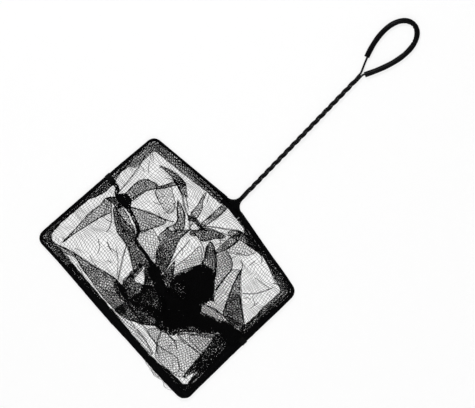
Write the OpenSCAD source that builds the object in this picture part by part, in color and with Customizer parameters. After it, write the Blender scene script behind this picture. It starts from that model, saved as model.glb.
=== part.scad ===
// Aquarium fish net, lying flat with its bag collapsed inside the hoop.
// One coated wire makes the hoop, the twisted handle and the hanging loop.
// Its axes all lie in one level plane. +Y runs from the far side of the hoop to the handle,
// +X to the right as seen from above with the handle pointing away, and +Z up.
// The origin is under the middle of the whole net, at the lowest point that it rests on.

/* [Hoop] */
// Width of the hoop at its far side, between wire axes
hoop_far_w = 254; // [200:1:320]
// Width of the hoop at the handle's side, between wire axes
hoop_near_w = 244; // [190:1:310]
// Depth of the hoop's straight sides, between wire axes
hoop_depth = 179; // [130:1:230]
// Bend radius of the four corners, at the wire axis
corner_r = 9.5; // [7:0.5:18]
// Rise of the two near legs towards the handle, in degrees
crotch_slope = 7.8; // [4:0.1:12]
// Bend radius where the legs turn into the handle, at the wire axis
crotch_bend_r = 12; // [9:0.5:16]

/* [Wire] */
// Diameter of the coated wire
wire_d = 2.5; // [1.8:0.1:3.2]
// Gap between two strands of the twist
strand_gap = 0.2; // [0.1:0.05:0.4]

/* [Handle] */
// Length of the twisted handle
handle_len = 198; // [140:1:280]
// Advance of the twist in one full turn
twist_lead = 33; // [26:1:44]
// Lean of the handle to the left, in degrees
handle_lean = 3.6; // [-5:0.1:5]
// Straight run of the hoop's wire before the twist starts
root_lead = 1.5; // [0.5:0.1:4]

/* [Loop] */
// Length of the loop at the wire axis, from the twist to its tip
loop_len = 84.6; // [65:0.2:110]
// Greatest width of the loop at the wire axis
loop_w = 35.2; // [26:0.2:46]
// Turn of the loop back to the right, in degrees
loop_turn = 2; // [-3:0.5:3]

/* [Sleeve] */
// Wall of the vinyl sleeve
sleeve_wall = 1; // [0.6:0.05:1.4]
// Bore of the sleeve, which the wire lies against on the loop's inner side
sleeve_bore = 4.6; // [4.4:0.1:5.4]
// Clearance between the sleeve's bore and the wire, where the wire lies against it
sleeve_clear = 0.3; // [0.1:0.05:0.5]
// Distance from the twist to the sleeve's end on the right leg, along the loop's axis
sleeve_start = 3.6; // [3.6:0.1:9]
// Distance from the twist to the sleeve's end on the left leg, along the loop's axis
sleeve_end = 20; // [12:0.5:30]

/* [Hem] */
// Width of the hem, from the wire axis to its inner edge
hem_w = 11; // [8:0.5:14]
// Thickness of the folded netting that makes the hem
hem_cloth = 0.7; // [0.5:0.05:0.9]
// Clearance between the hem and the wire in it
hem_clear = 0.3; // [0.2:0.05:0.5]
// Radius of the hem's inner corners
hem_inner_r = 5; // [2:0.5:8]
// Width of the thread that closes the hem
thread_w = 0.6; // [0.4:0.05:1]
// Distance from the hem's inner edge to its thread
thread_inset = 2; // [1.2:0.1:3]

/* [Bag] */
// Thickness of the netting as it lies folded flat
net_t = 1; // [0.8:0.1:1.6]
// Openings of the netting across the bag, drawn far coarser than the real ones
net_columns = 12; // [6:1:16]
// Rows of openings in the near panel
near_rows = 4; // [3:1:5]
// Rows of openings in the far panel
far_rows = 3; // [2:1:4]
// Width of the netting left between two openings
net_bar = 4.5; // [3:0.5:6]
// Width of the sewn side seams
seam_w = 4; // [3:0.2:7]
// Gap between neighbouring soft pieces
soft_gap = 0.3; // [0.2:0.05:0.5]
// Distance of the left seam's end from the middle of the hoop, towards the handle
left_seam_y = 19.4; // [-20:0.2:40]
// Distance of the right seam's end from the middle of the hoop, towards the handle
right_seam_y = 5.9; // [-20:0.2:40]
// Length of each seam tack along the hem
tack_len = 7; // [4:0.5:12]
// Height of the heap that the bag's bottom makes
heap_h = 19; // [10:0.5:26]
// Greatest length of the heap
heap_l = 108; // [70:1:120]
// Greatest breadth of the heap
heap_b = 78; // [50:1:86]

/* [Hidden] */
$fn = 48;

// Strands in the twist: the hoop's two legs and the wire's tail
strand_count = 3;
// Faces round a strand of the twist, round the hoop's wire and the sleeve, and round the hem
wire_sides = 8;
sleeve_sides = 12;
hem_sides = 14;
// Rings in one turn of the twist and along the loop
rings_per_turn = 15;
loop_rings = 40;
// Points in each rounded corner of a flat outline
corner_steps = 8;

wire_r = wire_d / 2;
// Half the distance between the centres of two strands, and that of a centre from the axis of all three
strand_r = wire_r + strand_gap / 2;
twist_r = 2 * strand_r / sqrt(3);
sleeve_bore_r = sleeve_bore / 2;
sleeve_r = sleeve_bore_r + sleeve_wall;
// How far the sleeve's axis lies outside the wire's
sleeve_shift = sleeve_bore_r - wire_r - sleeve_clear;
hem_bore_r = wire_r + hem_clear;
hem_r = hem_bore_r + hem_cloth;
tack_bore_r = hem_r + soft_gap;
tack_r = tack_bore_r + hem_cloth;
hem_band_t = 2 * hem_cloth;
thread_t = thread_w / 2;
// How far a cutter runs past what it cuts
overrun = wire_d;

// Height of the plane that holds every wire axis: the thickest tube rests on the ground
axis_z = max(sleeve_r, tack_r);
// Height of the netting's rim, which lies under the hem's band
rim_t = axis_z - hem_cloth - soft_gap;
// Distance from the wire axis to the netting's rim, clear of the tacks
rim_inset = tack_r + soft_gap;

// Corners of the hoop and the point where its two near legs would cross, hoop's middle at zero
half_far = hoop_far_w / 2;
half_near = hoop_near_w / 2;
half_depth = hoop_depth / 2;
leg_rise = half_near * tan(crotch_slope);
near_left = [-half_near, half_depth];
far_left = [-half_far, -half_depth];
far_right = [half_far, -half_depth];
near_right = [half_near, half_depth];
crossing = [0, half_depth + leg_rise];

// Directions along the handle and square to it
along = [-sin(handle_lean), cos(handle_lean)];
across = [cos(handle_lean), sin(handle_lean)];

// Where each leg's line meets its strand's line
leg_left = [cos(crotch_slope), sin(crotch_slope)];
leg_right = [-cos(crotch_slope), sin(crotch_slope)];
bend_left = meet(near_left, leg_left, crossing - strand_r * across, along);
bend_right = meet(near_right, leg_right, crossing + strand_r * across, along);
turn_left = 90 + handle_lean - crotch_slope;
turn_right = 90 - handle_lean - crotch_slope;
bend_run_left = crotch_bend_r * tan(turn_left / 2);
bend_run_right = crotch_bend_r * tan(turn_right / 2);
root_s = root_lead + max(
    (bend_left - crossing) * along + bend_run_left,
    (bend_right - crossing) * along + bend_run_right
);
root = crossing + root_s * along;
base = root + handle_len * along;

// The handle's frame in three directions, and the twist's axis, which lies above the hoop's wire because
// two strands leave in its plane and the third lies on them. The turns end a third short of whole ones,
// so the tail takes the left strand's place at the loop
along3 = [along.x, along.y, 0];
across3 = [across.x, across.y, 0];
up3 = [0, 0, 1];
twist_z = axis_z + twist_r / 2;
twist_turns = round(handle_len / twist_lead) - 1 / strand_count;
strand_rings = round(twist_turns * rings_per_turn);
// Share of the handle over which the twist sets in at each end
ease_share = 0.08;
// Swell of the teardrop that the loop follows, which is widest at two thirds of its length
loop_swell = loop_w * 3 * sqrt(3) / 8;

// The hoop's wire, from the left strand round to the right strand, and its bend radii
hoop_points = [
    root - strand_r * across, bend_left, near_left, far_left,
    far_right, near_right, bend_right, root + strand_r * across
];
hoop_radii = [0, crotch_bend_r, corner_r, corner_r, corner_r, corner_r, crotch_bend_r, 0];

// The closed outline that the hem follows, and the arcs of its corners at the wire and inside
hem_outline = [near_left, far_left, far_right, near_right, crossing];
hem_outer_line = rounded(hem_outline, corner_r);
hem_inner_line = rounded(inset(hem_outline, hem_w), hem_inner_r);

// Ends of the two side seams on the hoop, and where the hem leaves the near legs
seam_left = [-side_x(left_seam_y), left_seam_y];
seam_right = [side_x(right_seam_y), right_seam_y];
leg_end_left = bend_left - (bend_run_left + soft_gap) * leg_left;
leg_end_right = bend_right - (bend_run_right + soft_gap) * leg_right;

// Route of the left seam, the bag's bottom and the right seam, as shares of half the hoop's size
route_shares = [
    [-0.72, 0.16], [-0.44, 0.02], [-0.14, -0.13], [0.15, -0.3], [0.3, -0.17], [0.57, -0.07], [0.72, 0.02]
];
route = concat(
    [seam_left],
    [for (share = route_shares) [share.x * half_near, share.y * half_depth]],
    [seam_right]
);
route_steps = 6;
route_line = smooth_line(route, route_steps);

// Place of the heap, as shares of half the hoop's size, and its turn in degrees
heap_shares = [0.23, -0.2];
heap_turn = -8;
heap_at = [heap_shares.x * half_near, heap_shares.y * half_depth];
heap_rings = 7;
heap_steps = 40;
heap_lobes = 5;
// Depth of the heap's folds, as a share of its radius and of its height
heap_fold_share = 0.07;

// Middle of the net's length, which puts the origin under the middle of its box
loop_top = max([for (i = [0:loop_rings]) loop_point(180 * i / loop_rings).y]) + sleeve_shift + sleeve_r;
hoop_bottom = -half_depth - hem_r;
middle_y = (loop_top + hoop_bottom) / 2;

// Half the hoop's width at a height y
function side_x(y) = half_far + (half_near - half_far) * (y + half_depth) / hoop_depth;

// Point where two lines cross, each given by a point and a direction
function meet(p, d, q, e) = p + d * (((q - p).x * e.y - (q - p).y * e.x) / (d.x * e.y - d.y * e.x));

// Turn of a path at a corner, in degrees, positive to the left
function heading(a, b) = atan2(b.y - a.y, b.x - a.x);
function wrap(angle) = angle > 180 ? angle - 360 : (angle < -180 ? angle + 360 : angle);
function turn_at(p, i) = wrap(heading(p[i], p[i + 1]) - heading(p[i - 1], p[i]));
function bend_run(p, radii, i) =
    (i == 0 || i == len(p) - 1) ? 0 : radii[i] * tan(abs(turn_at(p, i)) / 2);

// A closed outline moved inwards by d, for points that run anticlockwise
function unit(v) = v / norm(v);
function inward(a, b) = [-unit(b - a).y, unit(b - a).x];
function inset(p, d) = [
    for (i = [0:len(p) - 1])
        let (a = p[(i + len(p) - 1) % len(p)], b = p[i], c = p[(i + 1) % len(p)])
        let (m = inward(a, b), n = inward(b, c))
        b + (m + n) * d / (1 + m * n)
];

// A closed outline with its corners rounded: each corner becomes an arc of radius r
function rounded(p, r) = [
    for (i = [0:len(p) - 1])
        let (a = p[(i + len(p) - 1) % len(p)], b = p[i], c = p[(i + 1) % len(p)])
        let (turn = wrap(heading(b, c) - heading(a, b)), run = r * tan(turn / 2))
        let (centre = b - run * unit(b - a) + r * inward(a, b))
        for (k = [0:corner_steps])
            let (at = heading(a, b) - 90 + turn * k / corner_steps)
            centre + r * [cos(at), sin(at)]
];

// A smooth line through points: each span is a cubic that leaves and enters along its neighbours
function span_point(a, b, c, d, t) =
    (2 * b + (c - a) * t + (2 * a - 5 * b + 4 * c - d) * t * t + (3 * b - a - 3 * c + d) * t * t * t) / 2;
function smooth_line(p, steps) = [
    for (i = [0:len(p) - 2])
        for (k = [0:(i == len(p) - 2 ? steps : steps - 1)])
            span_point(p[max(i - 1, 0)], p[i], p[i + 1], p[min(i + 2, len(p) - 1)], k / steps)
];

// Share of the twist that is done at a share x of the handle, eased at both ends
function twist_share(x) =
    x < ease_share ? x * x / (2 * ease_share * (1 - ease_share))
    : x > 1 - ease_share ? 1 - (1 - x) * (1 - x) / (2 * ease_share * (1 - ease_share))
    : (x - ease_share / 2) / (1 - ease_share);
function twist_rate(x) =
    min(1, x / ease_share, (1 - x) / ease_share) / (1 - ease_share);

// A ring of points round a centre, in the plane of two unit vectors
function ring(centre, m, n, r, sides) = [
    for (k = [0:sides - 1])
        centre + r * (cos(360 * k / sides) * m + sin(360 * k / sides) * n)
];

// Rings of one strand of the twist: a right-handed helix round the handle's axis
function strand_points(phase) = [
    for (i = [0:strand_rings])
        let (x = i / strand_rings, angle = phase - 360 * twist_turns * twist_share(x))
        let (out = cos(angle) * across3 + sin(angle) * up3)
        let (side = sin(angle) * across3 - cos(angle) * up3)
        let (climb = 2 * PI * twist_turns * twist_rate(x) * twist_r / handle_len)
        let (way = unit(along3 + climb * side))
        let (centre = [root.x, root.y, twist_z] + x * handle_len * along3 + twist_r * out)
        each ring(centre, out, cross(way, out), wire_r, wire_sides)
];

// The loop's axis: a teardrop, as a point for an angle from 0, right leg, to 180, left leg
function loop_point(a) =
    let (u = loop_len * sin(a) * sin(a))
    let (v = cos(a) * norm([strand_r, 2 * loop_swell * sin(a) * sin(a)]) + u * tan(loop_turn))
    base + u * along + v * across;
function loop_way(a) =
    a <= 0 ? along : (a >= 180 ? -along : unit(loop_point(a + 0.5) - loop_point(a - 0.5)));
// Rings of a tube along the loop, with its axis shifted outwards from the wire's
function loop_points(a0, a1, rings, r, sides, shift) = [
    for (i = [0:rings])
        let (a = a0 + (a1 - a0) * i / rings, w = loop_way(a), c = loop_point(a) + shift * [w.y, -w.x])
        each ring([c.x, c.y, axis_z], [-w.y, w.x, 0], up3, r, sides)
];
// Angle on the loop at a distance u from the twist, along the loop's axis
function loop_angle(u) = asin(sqrt(u / loop_len));

// Side faces of a tube whose rings start at a point number, seen from outside
function tube_sides(first, rings, sides) = [
    for (i = [0:rings - 1])
        for (k = [0:sides - 1])
            let (a = first + i * sides + k, b = first + i * sides + (k + 1) % sides)
            each [[a, a + sides, b + sides], [a, b + sides, b]]
];
function flipped(faces) = [for (f = faces) [f[0], f[2], f[1]]];

// Rings of a level tube along an open path: one at each end, and an arc of them round each corner
function level_ring(at, way, r, sides) =
    ring([at.x, at.y, axis_z], [-sin(way), cos(way), 0], up3, r, sides);
function path_rings(p, radii, r, sides) = [
    each level_ring(p[0], heading(p[0], p[1]), r, sides),
    for (i = [1:len(p) - 2])
        let (way = heading(p[i - 1], p[i]), turn = turn_at(p, i), left = sign(turn) * radii[i])
        let (start = p[i] - bend_run(p, radii, i) * unit(p[i] - p[i - 1]))
        let (centre = start + left * [-sin(way), cos(way)])
        for (k = [0:corner_steps])
            let (now = way + turn * k / corner_steps)
            each level_ring(centre - left * [-sin(now), cos(now)], now, r, sides),
    each level_ring(p[len(p) - 1], heading(p[len(p) - 2], p[len(p) - 1]), r, sides)
];

// A solid tube through rings of points
module solid_tube(points, sides) {
    rings = len(points) / sides - 1;
    faces = concat(
        tube_sides(0, rings, sides),
        [[for (k = [0:sides - 1]) k]],
        [[for (k = [0:sides - 1]) rings * sides + sides - 1 - k]]
    );
    polyhedron(points, faces);
}

// A hollow tube through two sets of rings, outer and inner
module hollow_tube(outer, inner, sides) {
    rings = len(outer) / sides - 1;
    first = len(outer);
    last = rings * sides;
    ends = [
        for (k = [0:sides - 1])
            let (n = (k + 1) % sides)
            each [
                [k, n, first + n], [k, first + n, first + k],
                [last + k, first + last + n, last + n], [last + k, first + last + k, first + last + n]
            ]
    ];
    faces = concat(tube_sides(0, rings, sides), flipped(tube_sides(first, rings, sides)), ends);
    polyhedron(concat(outer, inner), faces);
}

// The child's flat section, carried along a straight run
module run(a, b) {
    translate([a.x, a.y, axis_z])
        rotate([0, 0, heading(a, b)])
            rotate([90, 0, 90])
                linear_extrude(norm(b - a)) children();
}

// Everything is drawn with the hoop's middle at zero and moved to the origin here
module placed() {
    translate([0, -middle_y, 0]) children();
}

// The part of the plane on the handle's side of the seams, moved that way by d
module near_zone(d) {
    reach = hoop_far_w;
    polygon(concat(
        [[-reach, seam_left.y + d]],
        [for (p = route_line) p + [0, d]],
        [[reach, seam_right.y + d], [reach, base.y], [-reach, base.y]]
    ));
}
module far_zone(d) {
    reach = hoop_far_w;
    polygon(concat(
        [[-reach, seam_left.y - d]],
        [for (p = route_line) p - [0, d]],
        [[reach, seam_right.y - d], [reach, -hoop_depth], [-reach, -hoop_depth]]
    ));
}

// Flat shape inside the hoop's wire, moved inwards by d
module inside(d, r) {
    polygon(rounded(inset(hem_outline, d), r));
}

module hoop_wire() {
    color("#1b1b1d") placed()
        solid_tube(path_rings(hoop_points, hoop_radii, wire_r, sleeve_sides), sleeve_sides);
}

// The left strand and the tail are one wire: it runs up the handle, round the loop and back down
module handle_strand_left() {
    color("#1b1b1d") placed() solid_tube(strand_points(210), wire_sides);
}

module handle_strand_right() {
    color("#232325") placed() solid_tube(strand_points(-30), wire_sides);
}

module handle_strand_tail() {
    color("#2b2b2e") placed() solid_tube(strand_points(90), wire_sides);
}

module loop_wire() {
    color("#1b1b1d") placed()
        solid_tube(loop_points(0, 180, loop_rings, wire_r, wire_sides, 0), wire_sides);
}

// The sleeve covers the loop's right leg, tip and most of its left leg, and is cut square
module grip_sleeve() {
    a0 = loop_angle(sleeve_start);
    a1 = 180 - loop_angle(sleeve_end);
    color("#0e0e10") placed() hollow_tube(
        loop_points(a0, a1, loop_rings, sleeve_r, sleeve_sides, sleeve_shift),
        loop_points(a0, a1, loop_rings, sleeve_bore_r, sleeve_sides, sleeve_shift),
        sleeve_sides
    );
}

// One ring of the hem: a round channel at the wire, drawn out into a flat band to its inner edge
function hem_outer_ring(at, in, edge) =
    let (c = [at.x, at.y, axis_z], m = [in.x, in.y, 0], e = [edge.x, edge.y, axis_z])
    let (start = asin(hem_cloth / hem_r), steps = hem_sides - 3)
    concat(
        [e - hem_cloth * up3, e + hem_cloth * up3],
        [
            for (k = [0:steps])
                let (a = start + (360 - 2 * start) * k / steps)
                c + hem_r * (cos(a) * m + sin(a) * up3)
        ]
    );
function hem_bore_ring(at, in) =
    ring([at.x, at.y, axis_z], [in.x, in.y, 0], up3, hem_bore_r, hem_sides);

// Stations of the hem between two points on the wire, round the corners that lie between them:
// each is a point on the wire, the direction inwards there, and the point on the inner edge
function hem_station(at, in) = [at, in, at + hem_w * in];
function hem_corner(i) = [
    for (k = [0:corner_steps])
        let (n = i * (corner_steps + 1) + k, p = hem_outline)
        let (a = p[(i + len(p) - 1) % len(p)], way = heading(a, p[i]))
        let (now = way + wrap(heading(p[i], p[(i + 1) % len(p)]) - way) * k / corner_steps)
        [hem_outer_line[n], [-sin(now), cos(now)], hem_inner_line[n]]
];

module hem_piece(stations) {
    hollow_tube(
        [for (s = stations) each hem_outer_ring(s[0], s[1], s[2])],
        [for (s = stations) each hem_bore_ring(s[0], s[1])],
        hem_sides
    );
}

module near_hem_left() {
    in_leg = inward(crossing, near_left);
    in_side = inward(near_left, far_left);
    stop = seam_left - soft_gap / 2 * unit(far_left - near_left);
    color("#3a3a3e") placed()
        hem_piece(concat([hem_station(leg_end_left, in_leg)], hem_corner(0), [hem_station(stop, in_side)]));
}

module near_hem_right() {
    in_leg = inward(near_right, crossing);
    in_side = inward(far_right, near_right);
    start = seam_right + soft_gap / 2 * unit(near_right - far_right);
    color("#3a3a3e") placed()
        hem_piece(concat([hem_station(start, in_side)], hem_corner(3), [hem_station(leg_end_right, in_leg)]));
}

module far_hem() {
    start = seam_left + soft_gap / 2 * unit(far_left - near_left);
    stop = seam_right - soft_gap / 2 * unit(near_right - far_right);
    color("#111113") placed() hem_piece(concat(
        [hem_station(start, inward(near_left, far_left))], hem_corner(1), hem_corner(2),
        [hem_station(stop, inward(far_right, near_right))]
    ));
}

// A flat web fills the crotch between the hem's two ends, cut clear of both bends of the wire
module crotch_web() {
    left_in = inward(crossing, near_left);
    right_in = inward(near_right, crossing);
    left = leg_end_left + soft_gap * leg_left;
    right = leg_end_right + soft_gap * leg_right;
    tip = root - root_lead * along;
    centre_left = bend_left - bend_run_left * leg_left - crotch_bend_r * left_in;
    centre_right = bend_right - bend_run_right * leg_right - crotch_bend_r * right_in;
    color("#1d1d20") placed() translate([0, 0, axis_z - hem_cloth]) difference() {
        linear_extrude(hem_band_t) polygon([
            left + hem_bore_r * left_in, left + hem_w * left_in, inset(hem_outline, hem_w)[4],
            right + hem_w * right_in, right + hem_bore_r * right_in, tip
        ]);
        for (centre = [centre_left, centre_right])
            translate([centre.x, centre.y, -overrun])
                cylinder(hem_band_t + 2 * overrun, r = crotch_bend_r + hem_bore_r);
    }
}

// A thread row near the hem's inner edge, one on each face of the band
module thread_rows() {
    for (z = [axis_z + hem_cloth, axis_z - hem_cloth - thread_t / 2])
        translate([0, 0, z]) linear_extrude(z > axis_z ? thread_t : thread_t / 2) intersection() {
            difference() {
                inside(hem_w - thread_inset - thread_w, hem_inner_r);
                inside(hem_w - thread_inset, hem_inner_r);
            }
            children();
        }
}

module near_hem_thread() {
    color("#050505") placed() thread_rows() near_zone(tack_len / 2 + soft_gap);
}

module far_hem_thread() {
    color("#050505") placed() thread_rows() far_zone(tack_len / 2 + soft_gap);
}

// A flat piece of the bag, and the gathered edge on it that fills the room under the hem's band
module flat_net() {
    linear_extrude(net_t) intersection() {
        inside(rim_inset, hem_inner_r);
        children();
    }
}

module net_edge() {
    translate([0, 0, net_t]) linear_extrude(rim_t - net_t) intersection() {
        difference() {
            inside(rim_inset, hem_inner_r);
            inside(hem_w, hem_inner_r);
        }
        children();
    }
}

// Heights on the bag at a distance x from its middle: the seams' line, and the hem's inner edge on either side
function seam_y(x) = lookup(x, route_line);
function near_edge_y(x) = crossing.y - abs(x) * tan(crotch_slope) - hem_w / cos(crotch_slope);
function far_edge_y(x) = hem_w - half_depth;

// True where a point lies under the heap, which needs whole netting to lie on
function under_heap(p) =
    let (d = p - heap_at)
    let (u = d.x * cos(heap_turn) + d.y * sin(heap_turn), v = d.y * cos(heap_turn) - d.x * sin(heap_turn))
    norm([u / (heap_l / 2 + net_bar), v / (heap_b / 2 + net_bar)]) < 1;

// One opening: its sides follow the columns, its ends run with the seam below it and the hem above it
function opening_point(x, row, rows, end, way) =
    let (start = seam_y(x) + way * (seam_w / 2 + soft_gap + net_bar))
    let (stop = (way > 0 ? near_edge_y(x) : far_edge_y(x)) - way * net_bar)
    let (step = (stop - start + way * net_bar) / rows)
    [x, start + row * step + end * (step - way * net_bar)];

module openings(rows, way) {
    reach = half_near - hem_w - net_bar;
    step = (2 * reach + net_bar) / net_columns;
    for (column = [0:net_columns - 1], row = [0:rows - 1]) {
        left = -reach + column * step;
        right = left + step - net_bar;
        corners = [
            opening_point(left, row, rows, 0, way), opening_point(right, row, rows, 0, way),
            opening_point(right, row, rows, 1, way), opening_point(left, row, rows, 1, way)
        ];
        if (!under_heap((corners[0] + corners[2]) / 2))
            polygon(corners);
    }
}

module near_panel() {
    color("#6d6d72") placed() flat_net() difference() {
        near_zone(seam_w / 2 + soft_gap);
        openings(near_rows, 1);
    }
}

module far_panel() {
    color("#5c5c61") placed() flat_net() difference() {
        far_zone(seam_w / 2 + soft_gap);
        openings(far_rows, -1);
    }
}

module near_net_edge() {
    color("#3a3a3e") placed() net_edge() near_zone(seam_w / 2 + soft_gap);
}

module far_net_edge() {
    color("#2c2c30") placed() net_edge() far_zone(seam_w / 2 + soft_gap);
}

// The seams fill the strip between the two panels and meet under the heap
module seam_strip() {
    difference() {
        near_zone(-seam_w / 2);
        near_zone(seam_w / 2);
    }
}

module seam_sheet() {
    flat_net() children();
    net_edge() children();
}

module seam_side(side) {
    reach = hoop_far_w;
    translate([heap_at.x + (side < 0 ? -reach : 0), -hoop_depth])
        square([reach, 2 * hoop_depth]);
}

module left_side_seam() {
    color("#0a0a0b") placed() seam_sheet() intersection() {
        seam_strip();
        translate([-soft_gap / 2, 0]) seam_side(-1);
    }
}

module right_side_seam() {
    color("#0a0a0b") placed() seam_sheet() intersection() {
        seam_strip();
        translate([soft_gap / 2, 0]) seam_side(1);
    }
}

// A seam's folded end: a ring of cloth round the hem's tube, with a flap over its band
module tack_section() {
    difference() {
        union() {
            circle(tack_r);
            translate([0, hem_cloth + soft_gap]) square([hem_w - thread_inset, hem_cloth]);
        }
        circle(tack_bore_r);
        translate([0, -hem_cloth - soft_gap]) square([tack_r + overrun, 2 * (hem_cloth + soft_gap)]);
    }
}

module left_seam_tack() {
    way = unit(far_left - near_left);
    color("#050505") placed() run(seam_left - way * tack_len / 2, seam_left + way * tack_len / 2)
        tack_section();
}

module right_seam_tack() {
    way = unit(near_right - far_right);
    color("#050505") placed() run(seam_right - way * tack_len / 2, seam_right + way * tack_len / 2)
        tack_section();
}

// The bag's bottom, bunched into a low heap with rounded folds, flat where it lies on the panels
function heap_point(ring_share, angle) =
    let (fold = 1 + heap_fold_share * cos(heap_lobes * angle))
    let (x = heap_l / 2 * ring_share * fold * cos(angle), y = heap_b / 2 * ring_share * fold * sin(angle))
    let (lift = pow(1 - ring_share * ring_share, 1.5) * (1 + heap_fold_share * sin(heap_lobes * angle) * ring_share))
    [
        heap_at.x + x * cos(heap_turn) - y * sin(heap_turn),
        heap_at.y + x * sin(heap_turn) + y * cos(heap_turn),
        net_t + heap_h * lift
    ];

module bag_bottom() {
    side_points = [
        for (i = [0:heap_rings - 1])
            for (k = [0:heap_steps - 1])
                heap_point(1 - i / heap_rings, 360 * k / heap_steps)
    ];
    top = len(side_points);
    last = (heap_rings - 1) * heap_steps;
    faces = concat(
        tube_sides(0, heap_rings - 1, heap_steps),
        [for (k = [0:heap_steps - 1]) [last + k, top, last + (k + 1) % heap_steps]],
        [[for (k = [0:heap_steps - 1]) k]]
    );
    color("#161618") placed() polyhedron(concat(side_points, [heap_point(0, 0)]), faces);
}

hoop_wire();
handle_strand_left();
handle_strand_right();
handle_strand_tail();
loop_wire();
grip_sleeve();
near_hem_left();
near_hem_right();
crotch_web();
far_hem();
near_hem_thread();
far_hem_thread();
near_panel();
far_panel();
near_net_edge();
far_net_edge();
left_side_seam();
right_side_seam();
left_seam_tack();
right_seam_tack();
bag_bottom();
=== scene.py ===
# %% [markdown]
# # An aquarium fish net, lying on a white table
# One black coated wire makes the hoop, the twisted handle and the hanging loop, and a bag of fine
# black netting is sewn over the hoop. Here the bag lies collapsed inside the hoop, seen from above.
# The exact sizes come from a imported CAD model, which is loaded first as a fixed frame. Everything
# after that only dresses it: smoother wire, real threads, light and a camera.

import bpy
import numpy as np
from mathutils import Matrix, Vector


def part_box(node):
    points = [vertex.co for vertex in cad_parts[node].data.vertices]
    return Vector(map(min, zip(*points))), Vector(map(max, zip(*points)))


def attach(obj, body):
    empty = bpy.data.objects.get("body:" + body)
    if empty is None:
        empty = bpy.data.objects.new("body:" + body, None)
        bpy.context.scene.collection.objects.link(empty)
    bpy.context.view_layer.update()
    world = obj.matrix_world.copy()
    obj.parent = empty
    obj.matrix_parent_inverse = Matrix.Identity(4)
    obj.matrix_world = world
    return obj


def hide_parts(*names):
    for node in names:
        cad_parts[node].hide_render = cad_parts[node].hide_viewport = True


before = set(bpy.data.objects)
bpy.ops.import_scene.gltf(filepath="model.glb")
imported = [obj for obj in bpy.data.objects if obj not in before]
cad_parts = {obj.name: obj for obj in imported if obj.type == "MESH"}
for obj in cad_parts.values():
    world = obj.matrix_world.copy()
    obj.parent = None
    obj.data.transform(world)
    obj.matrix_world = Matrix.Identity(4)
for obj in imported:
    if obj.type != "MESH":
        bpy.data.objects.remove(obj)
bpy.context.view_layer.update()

# %% [markdown]
# ## Units and the places that everything hangs on
# The net is measured in millimetres from the middle of the hoop, because that is how its folds are
# easiest to think about. One function moves such points into the frame, in metres. How far the hoop's
# middle lies from the frame's origin is read off the hoop's wire itself.

# %% Sizes in millimetres
MM = 0.001
WIRE_R, AXIS_Z = 1.25, 3.3
FAR_W, NEAR_W, DEPTH = 254.0, 244.0, 179.0
CORNER_R, CROTCH_R = 9.5, 12.0
SLOPE, LEAN = np.radians(7.8), np.radians(3.6)
STRAND_R, TWIST_R, TWIST_LIFT = 1.35, 1.559, 0.779
HANDLE_LEN, TURNS, EASE = 198.0, 17 / 3, 0.08
ROOT_LEAD, SOFT_GAP = 1.5, 0.3
LOOP_LEN, LOOP_W, LOOP_TURN = 84.6, 35.2, np.radians(2.0)
SLEEVE_R, SLEEVE_BORE_R, SLEEVE_SHIFT = 3.3, 2.3, 0.75
SLEEVE_START, SLEEVE_END = 3.6, 20.0
HEM_W, HEM_INNER_R = 11.0, 5.0
LEFT_SEAM_Y, RIGHT_SEAM_Y = 19.4, 5.9

low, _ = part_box("hoop_wire")
MIDDLE = np.array([0.0, -(low[1] / MM + DEPTH / 2 + WIRE_R), 0.0])
print("the hoop's middle lies", round(MIDDLE[1], 2), "mm from the origin, towards the far side")


def to_frame(points):
    """Points in millimetres from the hoop's middle, as metres in the frame."""
    return (np.asarray(points, dtype=float) - MIDDLE) * MM


# %% [markdown]
# ## Helpers for paths
# A path is an array of points. It is measured, spread in equal steps, turned and raised as a whole.

# %% Path helpers
rng = np.random.default_rng  # always with a fixed seed, so every run draws the same


def pair(x, y):
    """Two arrays as the coordinates of flat points."""
    return np.stack([x, y], axis=-1)


def heading(angle):
    """Flat directions at an angle from the x axis."""
    return pair(np.cos(angle), np.sin(angle))


def unit(v):
    """Vectors of length one."""
    return v / np.maximum(np.linalg.norm(v, axis=-1, keepdims=True), 1e-9)


def to_left(way):
    """Flat directions, turned a quarter to the left."""
    return way[..., ::-1] * [-1, 1]


def full_turn(steps):
    """The angles of one turn in equal steps."""
    return np.linspace(0, 2 * np.pi, steps, endpoint=False)


def raised(flat, z):
    """Flat points with a height: the same for all, or one for each."""
    return np.concatenate([flat, np.broadcast_to(z, flat.shape[:-1])[..., None]], axis=-1)


def run_of(path):
    """How far each point of a path has run from its start."""
    return np.concatenate([[0.0], np.cumsum(np.linalg.norm(np.diff(path, axis=0), axis=1))])


def read_off(at, run, columns):
    """Columns of values that are known at the places run, read at other places."""
    return np.stack([np.interp(at, run, column) for column in np.transpose(columns)], axis=-1)


def spaced(path, step):
    """A path's points moved to equal steps along it."""
    run = run_of(path)
    return read_off(np.linspace(0, run[-1], max(2, int(round(run[-1] / step)) + 1)), run, path)


def along_path(path):
    """Direction of travel at each point of a path, and two directions square to it: left and up."""
    way = unit(np.gradient(path, axis=0))
    left = unit(np.cross(np.array([0.0, 0.0, 1.0]), way))
    return way, left, np.cross(way, left)


# %% [markdown]
# ## Helpers for meshes
# A piece is a grid of points worked out with numpy, or a ring of points carried along a path. Both are
# handed to Blender in one go: foreach_set is far quicker than adding points one by one.

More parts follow.
